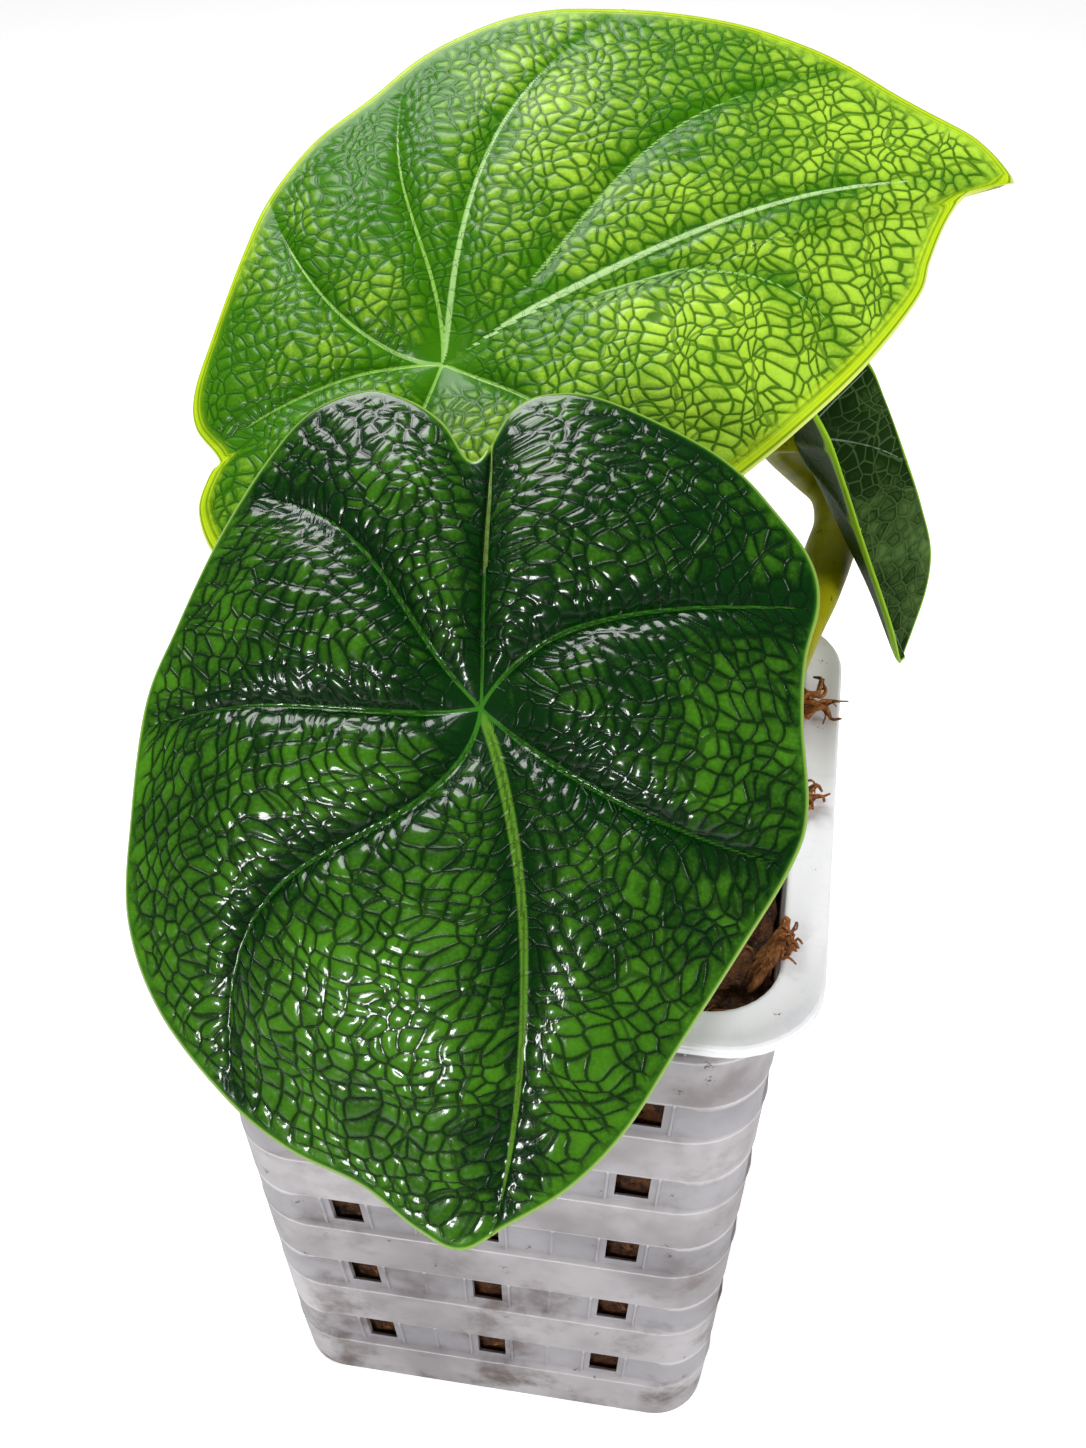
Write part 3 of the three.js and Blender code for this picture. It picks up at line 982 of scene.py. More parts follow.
SLATE_LEAF = LeafFinish(
    name="slate_leaf", deep=srgb(24, 48, 12), light=srgb(98, 130, 66), veinlet=srgb(92, 120, 66),
    vein=srgb(112, 136, 112), midrib=srgb(122, 146, 122), margin=srgb(60, 92, 50),
    edge=srgb(150, 196, 40), under=srgb(40, 66, 0), under_vein=srgb(60, 88, 4), roughness=0.5,
    coat=0.0, coat_roughness=0.35, fine_width=0.2, coarse_width=0.26, veinlet_strength=0.5,
    groove=0.14, margin_wide=0.7, shine=0.06,
)


# Blades

@dataclass(frozen=True)
class MainVein:
    """One main vein: its angle from the tip at the hub and at the margin, and the bow between."""

    at_hub: float
    at_margin: float
    bow: float = 0.0
    stout: float = 0.3
    pale: float = 0.0
    start: float = 0.0

    def angle(self, share: np.ndarray) -> np.ndarray:
        """Angle of the vein in degrees at each share of the reach."""
        straight = self.at_hub + (self.at_margin - self.at_hub) * share
        return straight + self.bow * np.sin(math.pi * share)


@dataclass(frozen=True)
class LeafForm:
    """Place and outline of a blade, in its own frame: u across, v towards the tip."""

    hub: tuple[float, float, float]
    lean: float
    heading: float
    turn: float
    funnel_deep: float
    funnel_wide: float
    panel_high: float
    droop_sides: float
    droop_tip: float
    arch_across: float
    arch_along: float
    fold: float
    veins: tuple[MainVein, ...]
    outline: tuple[tuple[float, float], ...]
    fold_skew: float = 0.0
    hook: float = 0.0
    hook_from: float = 0.0

    def axes(self) -> tuple[np.ndarray, np.ndarray, np.ndarray]:
        """Directions across, along and out of the blade.

        Returns:
            Three unit vectors.
        """
        lean, heading, turn = (math.radians(a) for a in (self.lean, self.heading, self.turn))
        level = np.array([math.cos(heading), math.sin(heading), 0.0])
        normal = np.array([
            math.sin(lean) * math.sin(heading),
            -math.sin(lean) * math.cos(heading),
            math.cos(lean),
        ])
        along = np.cross(level, normal) * math.cos(turn) + level * math.sin(turn)
        return np.cross(along, normal), along, normal

    def reach_table(self) -> tuple[np.ndarray, np.ndarray]:
        """Distance from the hub to the margin by angle from the tip.

        Returns:
            Sorted angles and the reach at each.
        """
        knots = np.array(self.outline)
        before, after, beyond = (np.roll(knots, shift, 0) for shift in (1, -1, -2))
        points = [spline(before, knots, after, beyond, t) for t in np.arange(12) / 12]
        spread = np.concatenate(points)
        angles = np.arctan2(spread[:, 0], spread[:, 1])
        order = np.argsort(angles)
        return angles[order], np.hypot(spread[:, 0], spread[:, 1])[order]

    def stalk_end(self) -> tuple[Vector, Vector]:
        """Point under the hub where a stalk meets the blade, and the direction out of the blade."""
        normal = Vector(self.axes()[2])
        return Vector(self.hub) - self.funnel_deep * normal, normal


FRONT_FORM = LeafForm(
    hub=(1.1, -31.4, 159.7), lean=38, heading=0, turn=5.6,
    funnel_deep=3, funnel_wide=9, panel_high=2.6, droop_sides=3, droop_tip=1.5,
    arch_across=0.0012, arch_along=0.0005, fold=0,
    veins=(
        MainVein(180, 180, 0, 0.2), MainVein(-155, -108, 10, 0.3), MainVein(-48, -64, 0, 0.3),
        MainVein(-23, -3, 0, 0.72, 1.0), MainVein(5, 30, 28, 0.32), MainVein(80, 87, 6, 0.3),
        MainVein(134, 131, 10, 0.28),
    ),
    outline=(
        (2, -33), (6.6, -38.6), (11.5, -42), (17.5, -43.5), (25, -40.5), (31, -33), (36.5, -23),
        (41.5, -11), (45, -1), (46, 14), (45.5, 27), (40.5, 38.5), (31, 49), (22.5, 55), (13, 59),
        (6, 63.8), (0.5, 66), (-5, 63), (-12.5, 58.3), (-19.2, 51.3), (-25.6, 41), (-32.7, 29.6),
        (-39, 19), (-41, 12), (-40.4, 1), (-40.8, -7), (-42.5, -14.5), (-41.2, -20.5),
        (-36.5, -27), (-32, -32), (-26, -36.2), (-15, -41.5), (-8.5, -42.5), (-3, -40.5),
    ),
)

BACK_FORM = LeafForm(
    hub=(-16.8, 30.7, 174), lean=38, heading=0, turn=112.8,
    funnel_deep=3, funnel_wide=10, panel_high=2.2, droop_sides=2.5, droop_tip=0.5,
    arch_across=0.0006, arch_along=0.0005, fold=0,
    veins=(
        MainVein(196, 177, -4, 0.3), MainVein(-160, -118, 3, 0.36, 0.2),
        MainVein(-72, -82, -9, 0.28), MainVein(-66, -50, -6, 0.5, 0.5),
        MainVein(-16, -22, -12, 0.36, 0.4, 0.28), MainVein(-11, -2, -4, 0.62, 1.0),
        MainVein(-6, 20, -9, 0.24, 0.3, 0.3), MainVein(40, 50, 0, 0.3), MainVein(125, 125, 0, 0.3),
    ),
    outline=(
        (4.2, -36.5), (-1.9, -38.8), (-7.6, -37.8), (-15.5, -33.2), (-27.6, -25.5), (-36, -19.2),
        (-43.5, -10), (-48.2, 0.5), (-53, 10.5), (-55.2, 22), (-54.8, 30.5), (-52.5, 38.5),
        (-48, 49.5), (-42, 60), (-35, 68.5), (-29.5, 73.6), (-22.5, 79), (-16.4, 84.3), (-13, 87.8),
        (-9, 90), (-5.2, 90.6), (-4.6, 87.5), (-4, 84.5), (-2.4, 81.5), (1, 78), (5.7, 74.4),
        (10.8, 70.9), (19, 60), (26, 47), (30.5, 37), (35.5, 25), (39, 11), (39.5, -4),
        (36, -19), (29, -32), (20, -40), (11.5, -41.5), (6, -38.5),
    ),
    hook=2.4, hook_from=84.0,
)

SIDE_FORM = LeafForm(
    hub=(38.3, 47, 156.2), lean=63, heading=68.2, turn=6.1,
    funnel_deep=0.8, funnel_wide=5, panel_high=0.9, droop_sides=0.6, droop_tip=0.4,
    arch_across=0, arch_along=-0.0004, fold=0.98,
    veins=(
        MainVein(180, 180, 0, 0.2, 0.4), MainVein(-110, -105, 0, 0.2, 0.5),
        MainVein(-55, -42, 0, 0.22, 0.7), MainVein(0, 0, 0, 0.35, 1.0),
        MainVein(55, 42, 0, 0.22, 0.7), MainVein(110, 105, 0, 0.2, 0.5),
    ),
    outline=(
        (0, -10), (3, -13.5), (7, -14), (11, -11.5), (13.3, -5.5), (12.6, 2), (11.6, 10),
        (10, 19), (8.2, 29), (5.6, 38), (0.8, 45), (-6.5, 39.5), (-11.2, 32), (-12.8, 23),
        (-13.5, 13), (-13.7, 3), (-13.2, -5), (-9.5, -10.5), (-5, -14.5), (-2, -13),
    ),
    fold_skew=0.23,
)


class CellLayout(Enum):
    """How the raised cells lie on a blade."""

    LADDER = "rows that follow the panels between the veins"
    OPEN = "free polygons without rows"


@dataclass
class Blade:
    """One quilted blade: a fine upper skin and a coarser underside, joined at the margin."""

    name: str
    form: LeafForm
    finish: LeafFinish
    slot: str
    node: str
    cells: int = 270
    cell_long: float = 1.75
    cell_wide: float = 2.45
    chevron: float = 5.0
    chevron_wide: float = 6.0
    panel_shift: float = 17.3
    dome_high: float = 0.28
    groove_deep: float = 1.1
    groove_wide: float = 1.7
    slit_from: float = 2.0
    slit_gap: float = 1.0
    margin_lean: float = 0.0
    vein_end: float = 0.97
    shadow_wide: float = 2.4
    shadow_deep: float = 0.42
    hub_shade_wide: float = 14.0
    hub_shade_deep: float = 0.3
    patch_wide: float = 38.0
    patch_deep: float = 0.22
    layout: CellLayout = CellLayout.LADDER
    smooth_margin: float = 1.6
    thick_hub: float = 1.2
    thick_margin: float = 0.8
    seed: int = 1
    painted_light_slope: tuple[float, float] = (0.0, 0.0)
    base_tone: float = 0.3
    dome_core: float = 0.34
    ridge_core: float = 0.16
    slit_deep: float = 0.8
    slope_step: float = 0.5
    upright: float = 0.35

    def build(self, effects: SharedEffects) -> bpy.types.Object:
        """Make the blade and dress it.

        Args:
            effects: shared node groups and the net.

        Returns:
            The finished piece.
        """
        mesh = self._sheet()
        count = len(mesh.vertices)
        flat = np.zeros(3 * count)
        mesh.vertices.foreach_get("co", flat)
        flat = flat.reshape(-1, 3)
        under = flat[:, 2] < -0.5
        angle, share = self._disc(flat[:, 0], flat[:, 1])
        reach = self._reach(angle)
        radius = share * reach
        u = radius * np.sin(angle)
        v = radius * np.cos(angle)
        facts = self._facts(u, v)
        self._store(mesh, facts, under)
        fine, coarse = effects.net.read(mesh, self.finish.uneven)
        middle, out = self._surface(u, v)
        lift = self._upper_relief(facts, fine, coarse)
        sink = self._lower_relief(facts)
        half = self._half_thickness(facts)
        offset = np.where(under, -half - sink, half + lift)
        points = middle + out * offset[:, None]
        mesh.vertices.foreach_set("co", (points * MM).ravel())
        mesh.update()
        piece = new_piece(self.name, mesh, self.finish.build(effects))
        return register(piece, (self.node,))

    def _sheet(self) -> bpy.types.Mesh:
        """Two square grids, upper and lower, stitched along their borders.

        Returns:
            The sheet, with its two sides 1 apart.
        """
        shape = bmesh.new()
        n = self.cells
        m = n // 2
        top = bmesh.ops.create_grid(shape, x_segments=n, y_segments=n, size=1.0)["verts"]
        low = bmesh.ops.create_grid(
            shape, x_segments=m, y_segments=m, size=1.0, matrix=Matrix.Translation(-UP)
        )["verts"]
        lower_faces = list({face for vert in low for face in vert.link_faces})
        bmesh.ops.reverse_faces(shape, faces=lower_faces)
        wide = [top[i] for i in self._border(n)]
        narrow = [low[i] for i in self._border(m)]
        for k, start in enumerate(narrow):
            stop = narrow[(k + 1) % len(narrow)]
            first, second, third = (wide[(2 * k + i) % len(wide)] for i in range(3))
            shape.faces.new((second, first, start))
            shape.faces.new((third, second, stop))
            shape.faces.new((stop, second, start))
        mesh = bpy.data.meshes.new(self.name)
        shape.to_mesh(mesh)
        shape.free()
        return mesh

    @staticmethod
    def _border(n: int) -> list[int]:
        """Indices round the border of a grid, anticlockwise.

        Args:
            n: cells along a side of the grid.

        Returns:
            The indices of its border vertices.
        """
        width = n + 1
        bottom = list(range(n))
        right = [i * width + n for i in range(n)]
        top = [n * width + n - i for i in range(n)]
        left = [(n - i) * width for i in range(n)]
        return bottom + right + top + left

    @staticmethod
    def _disc(a: np.ndarray, b: np.ndarray) -> tuple[np.ndarray, np.ndarray]:
        """Even spread of the square over a disc.

        Args:
            a: first coordinate, from -1 to 1.
            b: second coordinate, from -1 to 1.

        Returns:
            The angle and the share of the radius.
        """
        wide = np.abs(a) > np.abs(b)
        safe_a = np.where(a == 0, 1.0, a)
        safe_b = np.where(b == 0, 1.0, b)
        sideways = math.pi / 4 * b / safe_a + np.where(a < 0, math.pi, 0.0)
        upright = math.pi / 2 - math.pi / 4 * a / safe_b + np.where(b < 0, math.pi, 0.0)
        turn = np.where(wide, sideways, upright)
        share = np.maximum(np.abs(a), np.abs(b))
        return np.arctan2(np.sin(turn), np.cos(turn)), share

    def _reach(self, angle: np.ndarray) -> np.ndarray:
        """Distance to the margin at each angle."""
        angles, reach = self.form.reach_table()
        return np.interp(angle, angles, reach, period=math.tau)

    def _panels(self, angle: np.ndarray, share: np.ndarray) -> tuple[np.ndarray, ...]:
        """Which panel between two main veins each point lies in.

        Args:
            angle: angle from the tip.
            share: share of the reach.

        Returns:
            Panel number, place across the panel from 0 to 1, and panel width.
        """
        lines = [np.radians(vein.angle(share)) for vein in self.form.veins]
        lines[0] = lines[0] - math.tau
        lines.append(lines[0] + math.tau)
        turn = np.where(angle < lines[0], angle + math.tau, angle)
        turn = np.where(turn >= lines[-1], turn - math.tau, turn)
        panel = np.zeros(len(angle), int)
        for line in lines[1:-1]:
            panel += (turn >= line).astype(int)
        table = np.array(lines)
        columns = np.arange(len(angle))
        start = table[panel, columns]
        width = table[panel + 1, columns] - start
        return panel, np.clip((turn - start) / width, 0.0, 1.0), width

    def _facts(self, u: np.ndarray, v: np.ndarray) -> dict[str, np.ndarray]:
        """Everything about a point of the blade that its relief and its finish need.

        Args:
            u: places across the blade.
            v: places along the blade.

        Returns:
            One array for each fact.
        """
        angle = np.arctan2(u, v)
        radius = np.hypot(u, v)
        reach = self._reach(angle)
        share = np.clip(radius / reach, 0.0, 1.0)
        panel, place, width = self._panels(angle, share)
        veins = self.form.veins
        stout = np.array([vein.stout for vein in veins] + [veins[0].stout])
        pale = np.array([vein.pale for vein in veins] + [veins[0].pale])
        start = np.array([vein.start for vein in veins] + [veins[0].start])
        near = np.where(place < 0.5, panel, panel + 1)
        begun = smoothstep(share, start[near] - 0.12, start[near] + 0.02)
        shown = np.where(start[near] > 0, begun, 1.0)
        gap = np.minimum(place, 1 - place) * width * radius
        thin = stout[near] * (1.15 - 0.75 * share) * (0.02 + 0.98 * shown)
        thin = thin * (1 - 0.9 * smoothstep(share, self.vein_end - 0.12, self.vein_end + 0.05))
        slim = waves(u, v, 11.0, self.seed) * 0.42 + waves(u, v, 5.0, self.seed + 1) * 0.16
        aside = radius * (place - 0.5) * width
        climb = self.chevron * np.exp(-gap / self.chevron_wide)
        if self.layout is CellLayout.OPEN:
            rows = v / self.cell_long
            columns = u / self.cell_wide
        else:
            rows = (radius + climb) / self.cell_long
            columns = aside / self.cell_wide + self.panel_shift * panel
        quilt = np.stack([rows + slim, columns + 0.8 * slim, np.zeros_like(u)], 1)
        gap_to_margin = (reach - radius) * self._margin_slope(angle)
        apart = np.abs(np.abs(angle) - math.pi) * radius
        slit = np.where(share > self.slit_from, 1.6 * apart + self.slit_gap, 99.0)
        gap_to_margin = np.minimum(gap_to_margin, slit)
        band = gap_to_margin * (1 + self.margin_lean * np.clip(0.5 - u / 40, 0.0, 1.0))
        return {
            "radius": radius, "share": share, "vein_gap": gap, "vein_core": gap / thin,
            "midrib": pale[near],
            "cell_size": np.full(len(u), 0.5 * (self.cell_long + self.cell_wide)),
            "quilt": quilt, "margin_gap": gap_to_margin, "margin_band": band, "slit": slit,
            "u": u, "v": v, "shown": shown,
        }

    def _margin_slope(self, angle: np.ndarray) -> np.ndarray:
        """Share by which the true distance to the margin is less than the one along a ray.

        Args:
            angle: angles from the tip.

        Returns:
            The share at each angle.
        """
        step = 0.02
        reach = self._reach(angle)
        change = (self._reach(angle + step) - self._reach(angle - step)) / (2 * step)
        return reach / np.hypot(reach, change)

    def _store(self, mesh: bpy.types.Mesh, facts: dict[str, np.ndarray], under: np.ndarray) -> None:
        """Write the attributes that the net and the finish read.

        Args:
            mesh: the blade's mesh.
            facts: facts of its points.
            under: which points lie below.
        """
        inside = smoothstep(facts["margin_gap"], 0.5 * self.smooth_margin, 1.3 * self.smooth_margin)
        facts["calm"] = inside * smoothstep(facts["radius"], 2.0, 9.0)
        # Painted light: the blade is painted lighter towards one side and towards its tip.
        lean = self.painted_light_slope[0] * facts["u"] + self.painted_light_slope[1] * facts["v"]
        # Broad random patches of lighter and darker tone.
        shade = self.patch_deep * waves(facts["u"], facts["v"], self.patch_wide, self.seed + 5)
        # Painted shade: the blade is painted darker in a band along each main vein, where its crease
        # lies in shade.
        shadow = np.exp(-(facts["vein_gap"] / self.shadow_wide) ** 1.5)
        vein_shade = -self.shadow_deep * shadow * facts["shown"]
        # Painted shade: darker round the hub, in the funnel where the veins meet.
        hub_shade = -self.hub_shade_deep * np.exp(-(facts["radius"] / self.hub_shade_wide) ** 2)
        # The tone attribute carries this painted light and shade along with the random patches.
        facts["tone"] = self.base_tone + lean + shade + vein_shade + hub_shade
        facts["underside"] = under.astype(float)
        for label in (
            "cell_size", "calm", "tone", "underside", "vein_core", "midrib", "margin_gap", "margin_band",
        ):
            layer = mesh.attributes.new(label, "FLOAT", "POINT")
            layer.data.foreach_set("value", facts[label].astype(np.float32))
        layer = mesh.attributes.new("quilt", "FLOAT_VECTOR", "POINT")
        layer.data.foreach_set("vector", facts["quilt"].astype(np.float32).ravel())

    def _height(self, u: np.ndarray, v: np.ndarray) -> np.ndarray:
        """Large form of the blade above its own plane.

        Args:
            u: places across the blade.
            v: places along the blade.

        Returns:
            Its heights.
        """
        form = self.form
        angle = np.arctan2(u, v)
        radius = np.hypot(u, v)
        share = np.minimum(radius / self._reach(angle), 1.0)
        _, place, width = self._panels(angle, share)
        swell = np.sin(math.pi * place) ** 0.6 * np.minimum(np.degrees(width) / 60, 1.2)
        panel = 1.8 * swell * share ** 0.9 * np.maximum(0.0, 1 - share ** 3)
        funnel = -form.funnel_deep * np.exp(-((radius / form.funnel_wide) ** 2))
        droop = -(form.droop_sides + form.droop_tip * np.cos(angle))
        droop = droop * smoothstep(share, 0.55, 1.0) ** 1.5
        arch = -form.arch_across * u * u - form.arch_along * v * v
        soft_u = np.hypot(u, 3.0)
        fold = form.fold * (soft_u - 3.0) * (1 + form.fold_skew * u / soft_u)
        return form.panel_high * panel + funnel + droop + arch + fold

    def _surface(self, u: np.ndarray, v: np.ndarray) -> tuple[np.ndarray, np.ndarray]:
        """Place the large form.

        Args:
            u: places across the blade.
            v: places along the blade.

        Returns:
            Points of its middle surface, and its outward directions there.
        """
        across, along, normal = self.form.axes()
        step = self.slope_step
        height = self._height(u, v)
        slope_u = (self._height(u + step, v) - self._height(u - step, v)) / (2 * step)
        slope_v = (self._height(u, v + step) - self._height(u, v - step)) / (2 * step)
        form = self.form
        curl = form.hook * smoothstep(v, form.hook_from, form.hook_from + 9) if form.hook else 0.0
        middle = np.array(form.hub) + np.outer(u + curl, across) + np.outer(v, along)
        middle = middle + np.outer(height, normal)
        out = normal - np.outer(slope_u, across) - np.outer(slope_v, along)
        out /= np.linalg.norm(out, axis=1)[:, None]
        out = (1 - self.upright) * out + self.upright * normal
        return middle, out / np.linalg.norm(out, axis=1)[:, None]

    def _half_thickness(self, facts: dict[str, np.ndarray]) -> np.ndarray:
        """Half of the thickness, rounded off at the margin.

        Args:
            facts: facts of the points.

        Returns:
            The half thickness at each point.
        """
        thick = self.thick_hub + (self.thick_margin - self.thick_hub) * facts["share"]
        near = np.clip(facts["margin_gap"] / 0.7, 0.0, 1.0)
        return 0.5 * thick * (0.35 + 0.65 * np.sqrt(1 - (1 - near) ** 2))

    def _upper_relief(
        self, facts: dict[str, np.ndarray], fine: np.ndarray, coarse: np.ndarray
    ) -> np.ndarray:
        """Domed cells, sunken net and main veins of the upper side.

        Args:
            facts: facts of the points.
            fine: distance to the fine net, in cells.
            coarse: distance to the coarse net, in cells.

        Returns:
            How far each point is raised.
        """
        dome = np.sqrt(np.clip(fine / self.dome_core, 0.0, 1.0))
        ridge = np.clip(coarse / self.ridge_core, 0.0, 1.0) ** 0.6
        sized = np.clip(facts["cell_size"] / 1.8, 0.3, 1.3)
        quilt = self.dome_high * (dome - 0.6) * sized + 0.3 * self.dome_high * (ridge - 1)
        trough = -self.groove_deep * np.exp(-(facts["vein_gap"] / self.groove_wide) ** 1.3)
        trough *= smoothstep(facts["radius"], 1.0, 8.0) * (1 - facts["share"] ** 4) * facts["shown"]
        trough -= self.slit_deep * np.exp(-((facts["slit"] - self.slit_gap) / 0.4) ** 2)
        rib = 0.5 * facts["midrib"] * np.exp(-(facts["vein_core"]) ** 2)
        away = smoothstep(facts["vein_core"], 1.0, 2.2)
        return quilt * facts["calm"] * away + trough + rib * smoothstep(facts["radius"], 0.5, 6.0)

    def _lower_relief(self, facts: dict[str, np.ndarray]) -> np.ndarray:
        """Raised main veins of the underside."""
        rib = 0.9 * np.exp(-(facts["vein_gap"] / (0.9 - 0.4 * facts["share"])) ** 2)
        return rib * (1 - facts["share"]) ** 0.7 * smoothstep(facts["radius"], 0.5, 6.0)


# Stalks and crown

@dataclass
class Stalk:
    """One petiole, from its foot on the crown to the underside of its blade."""

    name: str
    node: str
    form: LeafForm
    route: tuple[tuple[float, ...], ...]
    foot_height: float = 114.5
    foot_radius: float = 2.75
    head_radius: float = 1.95
    sheath_swell: float = 0.0
    foot_flare: float = 0.9
    foot_flare_share: float = 0.045
    head_flare: float = 0.35
    head_flare_share: float = 0.05
    ripple: float = 0.015
    ripple_rate: float = 23.0
    sides: int = 28
    steps: int = 110

    def build(self, finish: bpy.types.Material) -> bpy.types.Object:
        """Make the stalk.

        Args:
            finish: the stalks' material.

        Returns:
            The finished piece.
        """
        end, normal = self.form.stalk_end()
        foot = self.route[0]
        knots = [Vector((*foot, self.foot_height)), Vector((*foot, self.foot_height + 4))]
        knots += [Vector(point) for point in self.route[1:]]
        knots += [end - 5.6 * normal, end - 0.1 * normal]
        points = curve_points(knots, self.steps)
        radii = [self._radius(i / self.steps) for i in range(self.steps + 1)]
        rings = tube_rings(points, radii, self.sides)
        shape = bmesh.new()
        wrap(shape, rings)
        mesh = mesh_from(shape, self.name)
        layer = mesh.attributes.new("along", "FLOAT", "POINT")
        heights = np.zeros(3 * len(mesh.vertices))
        mesh.vertices.foreach_get("co", heights)
        rise = heights.reshape(-1, 3)[:, 2] / MM
        share = np.clip((rise - self.foot_height) / (end.z - self.foot_height), 0, 1)
        layer.data.foreach_set("value", share.astype(np.float32))
        return register(new_piece(self.name, mesh, finish), (self.node,))

    def _radius(self, t: float) -> float:
        """Radius of the stalk, with its swollen sheath, its flared ends and a faint ripple.

        Args:
            t: share of the way from foot to head.

        Returns:
            The radius there.
        """
        radius = self.foot_radius + (self.head_radius - self.foot_radius) * t
        radius += self.sheath_swell * math.sin(math.pi * t) ** 2
        radius += self.foot_flare * math.exp(-(t / self.foot_flare_share) ** 2)
        radius += self.head_flare * math.exp(-((1 - t) / self.head_flare_share) ** 2)
        return radius * (1 + self.ripple * math.sin(self.ripple_rate * t + 1.3))


@dataclass
class Crown:
    """Short stout stem in papery sheaths, sunk in the growing medium."""

    at: tuple[float, float] = (32.3, 15.2)
    radius: float = 7.4
    bottom: float = 98.0
    top: float = 117.2
    ledges: int = 3
    ledge_deep: float = 0.35
    shoulder: float = 0.86
    scales: int = 9
    seed: int = 11
    sides: int = 48
    steps: int = 30

    def build(self, finish: bpy.types.Material) -> bpy.types.Object:
        """Make the crown.

        Args:
            finish: its material.

        Returns:
            The finished piece.
        """
        rings = []
        for i in range(self.steps + 1):
            t = i / self.steps
            z = self.bottom + (self.top - self.bottom) * t
            swell = self.radius * (0.72 + 0.28 * math.sin(math.pi * min(1.15 * t, 1.0)) ** 0.6)
            ledge = self.ledge_deep * (self.ledges * t % 1.0)
            past = max(0.0, (t - self.shoulder) / (1 - self.shoulder))
            close = math.sqrt(max(0.0, 1 - past ** 2))
            ring = []
            for k in range(self.sides):
                turn = k / self.sides * math.tau
                fold = 0.22 * math.sin(9 * turn + 5 * t) + 0.12 * math.sin(17 * turn)
                reach = (swell + fold - ledge) * (0.25 + 0.75 * close)
                ring.append(Vector((
                    self.at[0] + reach * math.cos(turn), self.at[1] + reach * math.sin(turn), z,
                )))
            rings.append(ring)
        shape = bmesh.new()
        wrap(shape, rings)
        self._sheaths(shape)
        return register(
            new_piece("sheathed_crown", mesh_from(shape, "sheathed_crown"), finish),
            ("crown",),
        )

    def _sheaths(self, shape: bmesh.types.BMesh) -> None:
        """Dry pointed scales that hug the crown between the stalks.

        Args:
            shape: bmesh of the crown, which they are added to.
        """
        draw = random.Random(self.seed)
        for k in range(self.scales):
            turn = k / self.scales * math.tau + draw.uniform(-0.2, 0.2)
            tall = draw.uniform(4.0, 8.0)
            wide = draw.uniform(3.0, 4.6)
            rings = []
            for i in range(9):
                t = i / 8
                half = wide * 0.5 * (1 - t ** 1.6) + 0.12
                reach = self.radius - 0.2 + 1.0 * t - 1.6 * t * t
                z = self.top - 7.0 + (tall + 1.5) * t
                ring = []
                for q in range(8):
                    around = q / 8 * math.tau
                    aside = half * math.cos(around) / self.radius
                    thick = 0.28 * math.sin(around)
                    ring.append(Vector((
                        self.at[0] + (reach + thick) * math.cos(turn + aside),
                        self.at[1] + (reach + thick) * math.sin(turn + aside),
                        z,
                    )))
                rings.append(ring)
            wrap(shape, rings)


# Pot

class Face(Enum):
    """Which side of the pot's wall a level belongs to."""

    OUTER = "outer"
    INNER = "inner"


@dataclass(frozen=True)
class Level:
    """One ring of the pot's profile: its half width, corner radius, height and kind."""

    half: float
    corner: float
    z: float
    face: Face
    inset: float = 0.0
    recess: float = 0.0
    ledge: float = 0.0
    rim: float = 0.0
    slot: bool = False


